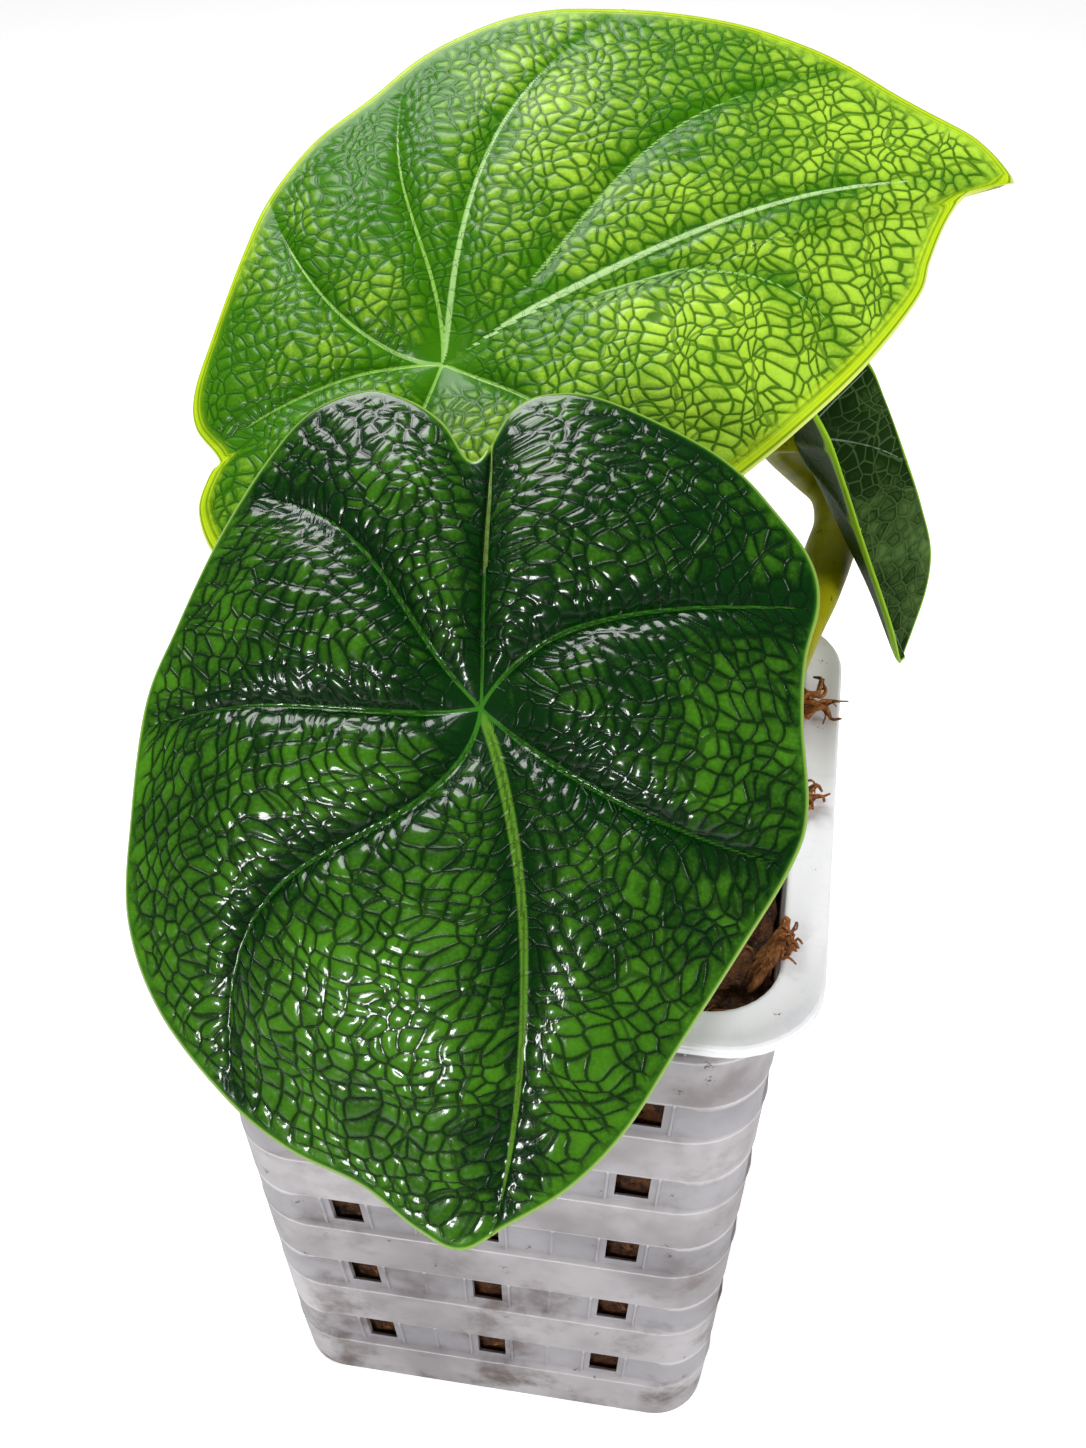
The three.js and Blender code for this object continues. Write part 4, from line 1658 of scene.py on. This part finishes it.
@dataclass
class SlottedPot:
    """Tapered square pot with recessed slotted bands and a flat flange rim."""

    height: float = 120.0
    base_half: float = 37.4
    top_half: float = 44.0
    base_corner: float = 9.0
    top_corner: float = 12.0
    wall: float = 1.8
    floor: float = 2.2
    rim_half: float = 48.5
    rim_corner: float = 14.0
    rim_thick: float = 1.2
    lip_drop: float = 2.0
    lip_width: float = 1.2
    rows: int = 6
    first_row: float = 16.8
    row_pitch: float = 19.6
    recess_tall: float = 8.6
    recess_deep: float = 0.8
    slot_wide: float = 5.4
    slot_tall: float = 5.8
    slot_slope: float = 1.0
    slot_narrow: float = 0.9
    slot_widen: float = 0.12
    keep_off: float = 0.2
    band_foot: tuple[tuple[float, float], ...] = (
        (-0.9, 0.0), (-0.45, -0.35), (-0.1, -0.3), (0.1, 0.85), (0.35, 1.0),
    )
    band_head: tuple[tuple[float, float], ...] = ((-0.25, 0.3), (0.25, 0.0))
    ledge_depths: tuple[float, float] = (-0.35, 0.3)
    lip_profile: tuple[tuple[float, float, float], ...] = (
        (0.25, 0.0, 2.0), (0.0, 0.0, 1.75), (0.0, 0.0, 0.95), (0.22, 0.0, 0.8), (0.05, 0.0, 0.62),
        (0.1, 0.0, 0.25), (0.45, 0.3, 0.0), (1.6, 1.0, 0.0), (2.0, 1.2, 0.12),
    )
    mouth_profile: tuple[tuple[float, float], ...] = (
        (1.1, -0.12), (0.75, 0.0), (0.4, -0.02), (0.1, -0.2), (0.0, -0.6),
    )
    grime_high: float = 60.0
    grime_low: float = 0.75
    corner_depth: float = 0.12
    pitch_low: float = 19.0
    pitch_high: float = 27.0
    rib_gap: float = 1.35
    rib_wide: float = 0.7
    rib_high: float = 0.45
    seam_high: float = 0.3
    corner_steps: int = 10
    crisp_angle: float = 34.0
    drain_side: float = 5.0
    drain_spread: float = 19.0
    columns: list[tuple[float, float, float]] = field(default_factory=list)

    def wall_half(self, z: float) -> float:
        """Half width of the plain wall at a height."""
        return self.base_half + (self.top_half - self.base_half) * z / self.height

    def corner_at(self, z: float) -> float:
        """Corner radius of the plain wall at a height."""
        return self.base_corner + (self.top_corner - self.base_corner) * z / self.height

    def pitch(self, z: float) -> float:
        """Distance between the slot columns at a height."""
        return self.pitch_low + (self.pitch_high - self.pitch_low) * z / self.height

    def row_height(self, row: int) -> float:
        """Height of the middle of a slotted band."""
        return self.first_row + row * self.row_pitch

    def _wall_columns(self) -> list[tuple[float, float, float]]:
        """Upright lines of one wall.

        Returns:
            Each line as share of the pitch, offset and rise.
        """
        half = self.slot_wide / 2
        rib = half + self.rib_gap
        edge = self.rib_wide / 2
        lines = []
        for anchor in (-1.0, -0.5, 0.0, 0.5, 1.0):
            if anchor in (-1.0, 0.0, 1.0):
                for sign in (-1, 1):
                    lines += [
                        (anchor, sign * half, 0.0),
                        (anchor, sign * (rib - edge), 0.0),
                        (anchor, sign * (rib - 0.4 * edge), self.rib_high),
                        (anchor, sign * (rib + 0.4 * edge), self.rib_high),
                        (anchor, sign * (rib + edge), 0.0),
                    ]
                lines.append((anchor, 0.0, 0.0))
            else:
                lines += [
                    (anchor, -0.4, 0.0), (anchor, -0.12, self.seam_high),
                    (anchor, 0.12, self.seam_high), (anchor, 0.4, 0.0),
                ]
        middle = self.pitch(self.height / 2)
        return sorted(lines, key=lambda line: line[0] * middle + line[1])

    def _ring(self, level: Level) -> list[Vector]:
        """Points of one level, anticlockwise from the front wall's left end.

        Args:
            level: the level.

        Returns:
            Its points.
        """
        flat = level.half - level.corner
        ring = []
        pitch = self.pitch(min(max(level.z, 0.0), self.height))
        front = -level.half + level.inset
        spread = self.slot_narrow + self.slot_widen * level.z / self.height
        for turn in QUARTER_TURNS:
            ring.append(turn @ Vector((-flat, front, level.z)))
            for anchor, offset, raised in self.columns:
                x = anchor * pitch + offset * spread
                x = max(self.keep_off - flat, min(flat - self.keep_off, x))
                out = raised * level.recess if level.face is Face.OUTER else 0.0
                ring.append(turn @ Vector((x, front - out, level.z)))
            for step in range(self.corner_steps):
                share = step / self.corner_steps
                bend = (share - 1) * math.pi / 2
                fade = 1 - (1 - self.corner_depth) * min(1.0, 2.2 * math.sin(math.pi * share))
                radius = level.corner - level.inset * fade
                ring.append(turn @ Vector((
                    flat + radius * math.cos(bend), -flat + radius * math.sin(bend), level.z,
                )))
        return ring

    def _band(self, row: int) -> list[tuple[float, float, bool]]:
        """Heights of one slotted band.

        Args:
            row: row of the band, from the bottom.

        Returns:
            Height, depth share and whether a slot starts there, from the bottom up.
        """
        middle = self.row_height(row)
        low = middle - self.recess_tall / 2
        high = min(middle + self.recess_tall / 2, self.height - self.rim_thick - 0.5)
        slot_low = middle - self.slot_tall / 2
        slot_high = min(middle + self.slot_tall / 2, high - 0.4)
        band = [(low + rise, depth, False) for rise, depth in self.band_foot]
        band += [(slot_low, 1.0, True), (slot_high, 0.95, False)]
        return band + [(high + rise, depth, False) for rise, depth in self.band_head]

    def _levels(self) -> list[Level]:
        """Profile of the pot from the middle of its underside to the middle of its floor.

        Returns:
            The levels in order.
        """
        levels = []
        outer = Face.OUTER
        inner = Face.INNER
        for inset, z in ((30.0, 0.35), (4.0, 0.35), (3.2, 0.0), (1.6, 0.0), (0.7, 0.25), (0.2, 0.8)):
            half = self.base_half - inset
            corner = max(self.base_corner - inset, 0.8)
            levels.append(Level(half, corner, z, outer))
        walls = []
        for row in range(self.rows):
            walls += self._band(row)
        for z, depth, slot in walls:
            # Each ring marks whether the finish paints recess shade on it and whether it paints a ledge
            # highlight.
            levels.append(Level(
                self.wall_half(z), self.corner_at(z), z, outer, inset=depth * self.recess_deep,
                recess=1.0 if depth > 0.9 else 0.0, slot=slot,
                ledge=1.0 if depth in self.ledge_depths else 0.0,
            ))
        under = self.height - self.rim_thick
        inside = self.rim_half - self.lip_width
        corner = self.rim_corner - self.lip_width
        levels += [
            Level(self.wall_half(under), self.top_corner, under, outer, rim=0.6),
            Level(inside, corner, under, outer, rim=1.0),
            Level(inside, corner, self.height - self.lip_drop, outer, rim=1.0),
        ]
        for back, tighter, down in self.lip_profile:
            half = self.rim_half - back
            levels.append(Level(half, self.rim_corner - tighter, self.height - down, outer, rim=1.0))
        mouth = self.wall_half(self.height) - self.wall
        corner = self.top_corner - self.wall
        for grow, z in self.mouth_profile:
            levels.append(Level(mouth + grow, corner + grow, self.height + z, outer, rim=1.0))
        for z, _, slot in reversed(walls):
            z -= self.slot_slope if slot else 0.0
            levels.append(Level(
                self.wall_half(z) - self.wall, self.corner_at(z) - self.wall, z, inner, slot=slot,
            ))
        for inset, z in ((0.0, self.floor + 1.0), (0.9, self.floor), (28.0, self.floor)):
            half = self.wall_half(z) - self.wall - inset
            corner = max(self.corner_at(z) - self.wall - inset, 0.8)
            levels.append(Level(half, corner, z, inner))
        return levels

    def build(self, finish: bpy.types.Material) -> bpy.types.Object:
        """Make the pot.

        Args:
            finish: its material.

        Returns:
            The finished piece.
        """
        self.columns = self._wall_columns()
        levels = self._levels()
        rings = [self._ring(level) for level in levels]
        shape = bmesh.new()
        labels = {
            name: shape.verts.layers.float.new(name) for name in ("rim", "recess", "ledge", "low")
        }
        wrap(shape, rings)
        count = len(rings[0])
        for index, vert in enumerate(shape.verts):
            self._label(vert, levels[index // count], labels)
        self._cut_slots(shape, levels)
        bmesh.ops.recalc_face_normals(shape, faces=shape.faces)
        mesh = mesh_from(shape, "pot_shell")
        piece = new_piece("pot_shell", mesh, finish)
        self._cut_drains(piece)
        piece.data.set_sharp_from_angle(angle=math.radians(self.crisp_angle))
        return register(piece, ("pot",))

    def _label(self, vert: bmesh.types.BMVert, level: Level, labels: dict) -> None:
        """Write what the finish reads at a vertex.

        Args:
            vert: the vertex.
            level: level that it lies on.
            labels: layers by name.
        """
        vert[labels["rim"]] = level.rim
        vert[labels["recess"]] = level.recess
        vert[labels["ledge"]] = level.ledge
        vert[labels["low"]] = self.grime_low * max(0.0, 1 - level.z / self.grime_high)

    def _cut_slots(self, shape: bmesh.types.BMesh, levels: list[Level]) -> None:
        """Open the slots in both faces of the wall and join their edges.

        Args:
            shape: bmesh of the pot.
            levels: the pot's levels, one for each ring.
        """
        per_side = len(self.columns) + 1 + self.corner_steps
        around = 4 * per_side
        starts = []
        for side in range(4):
            for anchor in (-1.0, 0.0, 1.0):
                first = self.columns.index((anchor, -self.slot_wide / 2, 0.0))
                starts.append(side * per_side + 1 + first)
        slot_rings = [i for i, level in enumerate(levels) if level.slot]
        shape.verts.ensure_lookup_table()
        verts = list(shape.verts)
        outer = [i for i in slot_rings if levels[i].face is Face.OUTER]
        inner = [i - 1 for i in slot_rings if levels[i].face is Face.INNER]
        doomed = []
        walls = []
        for out_ring, in_ring in zip(outer, reversed(inner)):
            for start in starts:
                loops = []
                for ring in (out_ring, in_ring):
                    low, high = (
                        [verts[level * around + (start + k) % around] for k in range(3)]
                        for level in (ring, ring + 1)
                    )
                    for k in range(2):
                        corners = {low[k], low[k + 1], high[k], high[k + 1]}
                        doomed += [f for f in low[k].link_faces if set(f.verts) == corners]
                    if ring == in_ring:
                        low, high = high, low
                    loops.append(low + list(reversed(high)))
                walls.append(loops)
        bmesh.ops.delete(shape, geom=doomed, context="FACES_ONLY")
        for loops in walls:
            edges = [
                shape.edges.get((loop[k - 1], loop[k])) for loop in loops for k in range(len(loop))
            ]
            bmesh.ops.bridge_loops(shape, edges=edges)

    def _cut_drains(self, piece: bpy.types.Object) -> None:
        """Cut the drain holes through the floor.

        Args:
            piece: the pot.
        """
        shape = bmesh.new()
        for x in (-1, 0, 1):
            for y in (-1, 0, 1):
                if x or y:
                    spot = Matrix.Translation((x * self.drain_spread, y * self.drain_spread, 0))
                    stretch = Matrix.Diagonal((self.drain_side, self.drain_side, 4 * self.floor, 1))
                    bmesh.ops.create_cube(shape, size=1.0, matrix=spot @ stretch)
        cutter = bpy.data.objects.new("drain_cutter", mesh_from(shape, "drain_cutter"))
        bpy.context.scene.collection.objects.link(cutter)
        cut = piece.modifiers.new("drains", "BOOLEAN")
        cut.operation = "DIFFERENCE"
        cut.solver = "EXACT"
        cut.object = cutter
        evaluated = piece.evaluated_get(bpy.context.evaluated_depsgraph_get())
        cut_mesh = bpy.data.meshes.new_from_object(evaluated)
        piece.modifiers.clear()
        piece.data = cut_mesh
        bpy.data.objects.remove(cutter)


# Growing medium

@dataclass
class GrowingMedium:
    """Packed bark and moss with loose chips, fibres and tufts on top."""

    pot: SlottedPot
    top: float = 114.2
    lump: float = 1.6
    crown_at: tuple[float, float] = (32.3, 15.2)
    crown_room: float = 7.0
    chips: int = 230
    chip_size: tuple[float, float] = (1.2, 3.6)
    slot_chips: int = 5
    slot_chip_size: tuple[float, float] = (0.9, 1.7)
    strands: int = 340
    strand_thick: tuple[float, float] = (0.22, 0.5)
    strand_sides: int = 5
    tuft_thick: tuple[float, float] = (0.35, 0.75)
    tufts: tuple[tuple[int, float, int, float], ...] = (
        (0, 23, 18, 9), (0, 2, 16, 7), (0, -31, 18, 4), (2, 8, 9, 6), (1, 12, 6, 5),
    )
    layers: int = 56
    circles: int = 26
    side_steps: int = 26
    corner_steps: int = 6
    roughness: float = 0.009
    seed: int = 21

    def build(
        self, soil: bpy.types.Material, bark: bpy.types.Material, moss: bpy.types.Material
    ) -> None:
        """Make every piece of the filling.

        Args:
            soil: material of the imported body.
            bark: material of the chips.
            moss: material of the strands.
        """
        pieces = (
            (self._body(), "packed_soil", soil),
            (self._chips(), "bark_chips", bark),
            (self._strands(), "moss_strands", moss),
        )
        for mesh, name, finish in pieces:
            piece = new_piece(name, mesh, finish, smooth=name != "bark_chips")
            register(piece, ("growing_medium",))

    def surface(self, x: float, y: float) -> float:
        """Height of the lumpy top.

        Args:
            x: place along the front wall.
            y: place along the side wall.

        Returns:
            The height there.
        """
        coarse = math.sin(0.31 * x + 0.4) * math.cos(0.27 * y - 0.8)
        fine = math.sin(0.83 * x - 0.55 * y) * math.cos(0.71 * y + 0.36 * x)
        return self.top + self.lump * (0.6 * coarse + 0.5 * fine)

    def _outline(self, half: float, corner: float, z: float) -> list[Vector]:
        """Rounded square ring with even points.

        Args:
            half: half of its width.
            corner: its corner radius.
            z: its height.

        Returns:
            Its points.
        """
        ring = []
        flat = half - corner
        for turn in QUARTER_TURNS:
            for k in range(self.side_steps):
                x = -flat + 2 * flat * k / self.side_steps
                ring.append(turn @ Vector((x, -half, z)))
            for k in range(self.corner_steps):
                bend = -math.pi / 2 + k / self.corner_steps * math.pi / 2
                ring.append(turn @ Vector((
                    flat + corner * math.cos(bend), -flat + corner * math.sin(bend), z,
                )))
        return ring

    def _body(self) -> bpy.types.Mesh:
        """Packed block that fills the pot.

        Returns:
            Its mesh in metres.
        """
        gap = self.pot.wall + 0.5
        rings = []
        bottom = self.pot.floor + 0.5
        for i in range(self.layers + 1):
            z = bottom + (self.top - bottom) * i / self.layers
            half = self.pot.wall_half(z) - gap
            ring = self._outline(half, self.pot.corner_at(z) - gap, z)
            for point in ring:
                rough = math.sin(1.3 * point.x + 2.1 * z) + math.sin(1.7 * point.y - 1.9 * z)
                rough += math.sin(0.9 * (point.x + point.y) + 3.1 * z)
                point.x *= 1 - self.roughness * (rough + 3) / 2
                point.y *= 1 - self.roughness * (rough + 3) / 2
            rings.append(ring)
        edge = rings[-1]
        for i in range(1, self.circles):
            share = 1 - i / self.circles
            rings.append([
                Vector((p.x * share, p.y * share, self.surface(p.x * share, p.y * share)))
                for p in edge
            ])
        shape = bmesh.new()
        wrap(shape, rings)
        return mesh_from(shape, "packed_soil")

    def _chip(self, batch: Batch, at: Vector, size: float, flat: float, draw: random.Random) -> None:
        """Add one broken flake of bark.

        Args:
            batch: what it is added to.
            at: its middle.
            size: half of its length.
            flat: its thickness as a share of its length.
            draw: seeded chance.
        """
        shape = bmesh.new()
        start = draw.uniform(0, math.tau)
        made = bmesh.ops.create_icosphere(shape, subdivisions=2, radius=1.0)["verts"]
        squash = Matrix.Diagonal((size, size * draw.uniform(0.45, 0.8), size * flat))
        turn = Matrix.Rotation(draw.uniform(0, math.tau), 3, "Z")
        tilt = Matrix.Rotation(draw.uniform(-0.6, 0.6), 3, "X") @ Matrix.Rotation(
            draw.uniform(-0.6, 0.6), 3, "Y")
        for vert in made:
            ragged = 1 + 0.3 * math.sin(5.1 * vert.co.x + start) * math.sin(4.3 * vert.co.y - start)
            boxy = Vector(math.copysign(abs(c) ** 0.6, c) for c in vert.co)
            vert.co = at + turn @ tilt @ (squash @ (boxy * ragged))
        batch.take(shape)

    def _chips(self) -> bpy.types.Mesh:
        """Flakes of bark on the top and behind the slots.

        Returns:
            Their mesh in metres.
        """
        draw = random.Random(self.seed)
        batch = Batch()
        room = self.pot.wall_half(self.top) - self.pot.wall - 4.5
        for _ in range(self.chips):
            x = draw.uniform(-room, room)
            y = draw.uniform(-room, room)
            near = math.hypot(x - self.crown_at[0], y - self.crown_at[1])
            size = draw.uniform(*self.chip_size)
            if near > self.crown_room + size:
                at = Vector((x, y, self.surface(x, y) + draw.uniform(-0.3, 0.7)))
                self._chip(batch, at, size, draw.uniform(0.18, 0.4), draw)
        for turn in QUARTER_TURNS:
            for row in range(self.pot.rows):
                z = self.pot.row_height(row)
                for column in (-1, 0, 1):
                    for _ in range(self.slot_chips):
                        x = column * self.pot.pitch(z) + draw.uniform(-2.8, 2.8)
                        up = draw.uniform(-2.6, 2.6)
                        back = self.pot.wall_half(z) - self.pot.wall - draw.uniform(1.4, 2.4)
                        at = turn @ Vector((x, -back, min(z + up, self.top - 1.0)))
                        size = draw.uniform(*self.slot_chip_size)
                        self._chip(batch, at, size, draw.uniform(0.4, 0.8), draw)
        return batch.mesh("bark_chips")

    def _strand(self, batch: Batch, knots: list[Vector], thick: float) -> None:
        """Add one tapering fibre.

        Args:
            batch: what it is added to.
            knots: points that it passes.
            thick: radius of its root.
        """
        shape = bmesh.new()
        points = curve_points(knots, 4 * (len(knots) - 1))
        count = len(points)
        radii = [thick * (1 - 0.7 * (i / (count - 1)) ** 2) for i in range(count)]
        wrap(shape, tube_rings(points, radii, self.strand_sides))
        batch.take(shape)

    def _strands(self) -> bpy.types.Mesh:
        """Curled moss fibres on the top, in the corners and over the rim.

        Returns:
            Their mesh in metres.
        """
        draw = random.Random(self.seed + 1)
        batch = Batch()
        room = self.pot.wall_half(self.top) - self.pot.wall - 3.0
        for _ in range(self.strands):
            x = draw.uniform(-room, room)
            y = draw.uniform(-room, room)
            if math.hypot(x - self.crown_at[0], y - self.crown_at[1]) < self.crown_room + 2:
                continue
            knots = self._curl(Vector((x, y, self.surface(x, y) - 0.3)), room, draw)
            self._strand(batch, knots, draw.uniform(*self.strand_thick))
        for side, along, count, reach in self.tufts:
            for _ in range(count):
                knots = self._over_rim(side, along, reach, draw)
                self._strand(batch, knots, draw.uniform(*self.tuft_thick))
        return batch.mesh("moss_strands")

    def _curl(self, start: Vector, room: float, draw: random.Random) -> list[Vector]:
        """Short curled path on the surface that stays inside the pot.

        Args:
            start: where it starts.
            room: half of the width that it may use.
            draw: seeded chance.

        Returns:
            Points that the fibre passes.
        """
        knots = [start]
        turn = draw.uniform(0, math.tau)
        for _ in range(4):
            turn += draw.uniform(-1.1, 1.1)
            step = draw.uniform(1.4, 3.0)
            x = max(-room, min(room, knots[-1].x + step * math.cos(turn)))
            y = max(-room, min(room, knots[-1].y + step * math.sin(turn)))
            knots.append(Vector((x, y, self.surface(x, y) + draw.uniform(0.2, 2.0))))
        return knots

    def _over_rim(self, side: int, along: float, reach: float, draw: random.Random) -> list[Vector]:
        """Path of a fibre that climbs out of the pot and curls on its rim.

        Args:
            side: wall that it crosses, counted anticlockwise from +X.
            along: place along that wall.
            reach: how far over the wall it may go.
            draw: seeded chance.

        Returns:
            Points that the fibre passes.
        """
        inner = self.pot.wall_half(self.pot.height) - self.pot.wall
        top = self.pot.height
        place = along + draw.uniform(-2.8, 2.8)
        knots = [
            Vector((inner - 4.5, place, self.top - 1.0)),
            Vector((inner - 2.6 + draw.uniform(-0.5, 0.5), place + draw.uniform(-1, 1), self.top + 3)),
            Vector((inner - 0.8, place + draw.uniform(-1.5, 1.5), top + 1.0)),
        ]
        turn = draw.uniform(-0.9, 0.9)
        far = inner + reach
        for _ in range(5):
            turn += draw.uniform(-1.3, 1.3)
            step = draw.uniform(0.8, 1.7) * reach / 7
            last = knots[-1]
            x = min(far, max(inner - 0.5, last.x + step * math.cos(turn)))
            y = last.y + step * math.sin(turn)
            knots.append(Vector((x, y, top + 0.7 + draw.uniform(0.0, 2.4))))
        return [QUARTER_TURNS[side] @ knot for knot in knots]


# Studio

@dataclass(frozen=True)
class StudioCamera:
    """Camera that stands where the photograph was taken from."""

    place: tuple[float, float, float] = (36.6, -186.12, 289.68)
    pitch: float = 40.05
    roll: float = -0.56
    yaw: float = -10.01
    lens: float = 40.77
    film: float = 36.0

    def build(self) -> None:
        """Make the camera and make it the scene's."""
        data = bpy.data.cameras.new("camera")
        data.lens = self.lens
        data.sensor_width = self.film
        data.sensor_fit = "AUTO"
        data.clip_start = 0.01
        pitch, roll, yaw = (math.radians(a) for a in (self.pitch, self.roll, self.yaw))
        ahead = Vector((
            math.sin(yaw) * math.cos(pitch), math.cos(yaw) * math.cos(pitch), -math.sin(pitch),
        ))
        right = Vector((math.cos(yaw), -math.sin(yaw), 0.0))
        above = right.cross(ahead)
        turned_right = math.cos(roll) * right + math.sin(roll) * above
        turned_above = -math.sin(roll) * right + math.cos(roll) * above
        matrix = Matrix((turned_right, turned_above, -ahead)).transposed().to_4x4()
        matrix.translation = Vector(self.place) * MM
        camera = bpy.data.objects.new("camera", data)
        camera.matrix_world = matrix
        bpy.context.scene.collection.objects.link(camera)
        bpy.context.scene.camera = camera


@dataclass(frozen=True)
class SoftBox:
    """One square studio lamp that points at the plant."""

    name: str
    place: tuple[float, float, float]
    size: float
    power: float
    mirrored: bool = True
    aim: tuple[float, float, float] = (0.0, 0.0, 130.0)

    def build(self) -> None:
        """Make the lamp."""
        data = bpy.data.lights.new(self.name, "AREA")
        data.shape = "SQUARE"
        data.size = self.size * MM
        data.energy = self.power
        lamp = bpy.data.objects.new(self.name, data)
        lamp.visible_glossy = self.mirrored
        place = Vector(self.place) * MM
        lamp.location = place
        lamp.rotation_euler = (place - Vector(self.aim) * MM).to_track_quat("Z", "Y").to_euler()
        bpy.context.scene.collection.objects.link(lamp)


@dataclass(frozen=True)
class Studio:
    """Plain pale floor, pale surroundings and soft lamps."""

    floor_half: float = 3000.0
    floor_glow: float = 0.55
    around: float = 0.28
    shine: float = 0.1
    lamps: tuple[SoftBox, ...] = (
        SoftBox("key_lamp", (-200.0, 200.0, 640.0), 300.0, 3.1),
        SoftBox("front_lamp", (-160.0, -560.0, 420.0), 110.0, 1.9),
        SoftBox("right_lamp", (520.0, -160.0, 380.0), 240.0, 1.7, mirrored=False),
    )

    def build(self) -> None:
        """Make the floor, the world and the lamps."""
        shape = bmesh.new()
        bmesh.ops.create_grid(shape, x_segments=1, y_segments=1, size=self.floor_half)
        material, sheet, shader = new_material("pale_floor")
        set_plain(shader, {
            "Base Color": (0.96, 0.96, 0.96, 1.0),
            "Roughness": 0.9,
            "Emission Strength": self.floor_glow,
        })
        seen = sheet.add("ShaderNodeLightPath").outputs["Is Camera Ray"]
        sheet.feed(shader.inputs["Emission Color"], seen)
        floor = new_piece("floor", mesh_from(shape, "floor"), material)
        self._surroundings()
        bpy.context.scene.view_settings.view_transform = "Standard"
        for lamp in self.lamps:
            lamp.build()

    def _surroundings(self) -> None:
        """White behind everything, dimmer where it only lights or is mirrored."""
        world = bpy.data.worlds.new("studio")
        world.use_nodes = True
        sheet = NodeSheet(world.node_tree)
        back = world.node_tree.nodes["Background"]
        path = sheet.add("ShaderNodeLightPath")
        dim = sheet.math("MULTIPLY", path.outputs["Is Glossy Ray"], self.shine - self.around)
        light = sheet.math("ADD", dim, self.around)
        seen = sheet.math("MULTIPLY", path.outputs["Is Camera Ray"], 1.0 - self.around)
        back.inputs["Color"].default_value = (1.0, 1.0, 1.0, 1.0)
        sheet.feed(back.inputs["Strength"], sheet.math("ADD", light, seen))
        bpy.context.scene.world = world


# Routes of the stalks: foot on the crown as x, y, then the points passed
FRONT_ROUTE = ((28.7, 13.2), (26.5, 8, 121), (16, -8, 135), (5.5, -19.5, 144.5))
BACK_ROUTE = (
    (32, 19.5), (31, 22.5, 123), (26.5, 28, 136), (18, 34, 147.5), (6, 39, 156.5), (-8, 41, 161.5),
)
SIDE_ROUTE = (
    (36.3, 13.7), (40.3, 28, 130.9), (42.6, 38.5, 132.4), (44.3, 48.5, 133), (45.4, 56, 134.7),
    (43.7, 61, 137.8), (38.9, 61.5, 141.5),
)


def main() -> None:
    """Build the dressed plant and the studio."""
    logging.basicConfig(level=logging.INFO, format="%(name)s %(message)s")
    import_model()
    StudioCamera().build()
    effects = SharedEffects()
    pot = SlottedPot()
    pot.build(PlasticFinish().build(effects))
    GrowingMedium(pot).build(SOIL.build(), BARK.build(), MOSS.build())
    Crown().build(SHEATH.build())
    stalk = StalkFinish().build(effects)
    Stalk("front_stalk", "petiole_front", FRONT_FORM, FRONT_ROUTE).build(stalk)
    Stalk("back_stalk", "petiole_back", BACK_FORM, BACK_ROUTE).build(stalk)
    Stalk("side_stalk", "petiole_side", SIDE_FORM, SIDE_ROUTE, sheath_swell=1.8).build(stalk)
    Blade(
        "front_leaf", FRONT_FORM, DARK_LEAF, "blade_dark", "blade_front",
        cell_long=1.9, cell_wide=2.7, chevron=2.4, chevron_wide=9.0, seed=3, painted_light_slope=(0.003, 0.004),
        base_tone=0.33, slit_from=0.5, groove_wide=2.0, shadow_wide=3.2, shadow_deep=0.5,
    ).build(effects)
    Blade(
        "back_leaf", BACK_FORM, LIME_LEAF, "blade_lime", "blade_back",
        cell_long=2.0, cell_wide=2.1, smooth_margin=2.6, dome_high=0.3, groove_deep=0.6,
        groove_wide=1.5, seed=8, painted_light_slope=(0.006, 0.005), base_tone=0.34, vein_end=0.86,
        margin_lean=1.6, layout=CellLayout.OPEN,
    ).build(effects)
    Blade(
        "side_leaf", SIDE_FORM, SLATE_LEAF, "blade_slate", "blade_side",
        cells=140, cell_long=2.0, cell_wide=2.3, chevron=2.0, chevron_wide=3.0, dome_high=0.14,
        groove_deep=0.35, smooth_margin=0.8, seed=13, base_tone=0.35, layout=CellLayout.OPEN,
    ).build(effects)
    Studio().build()


if __name__ == "__main__":
    main()
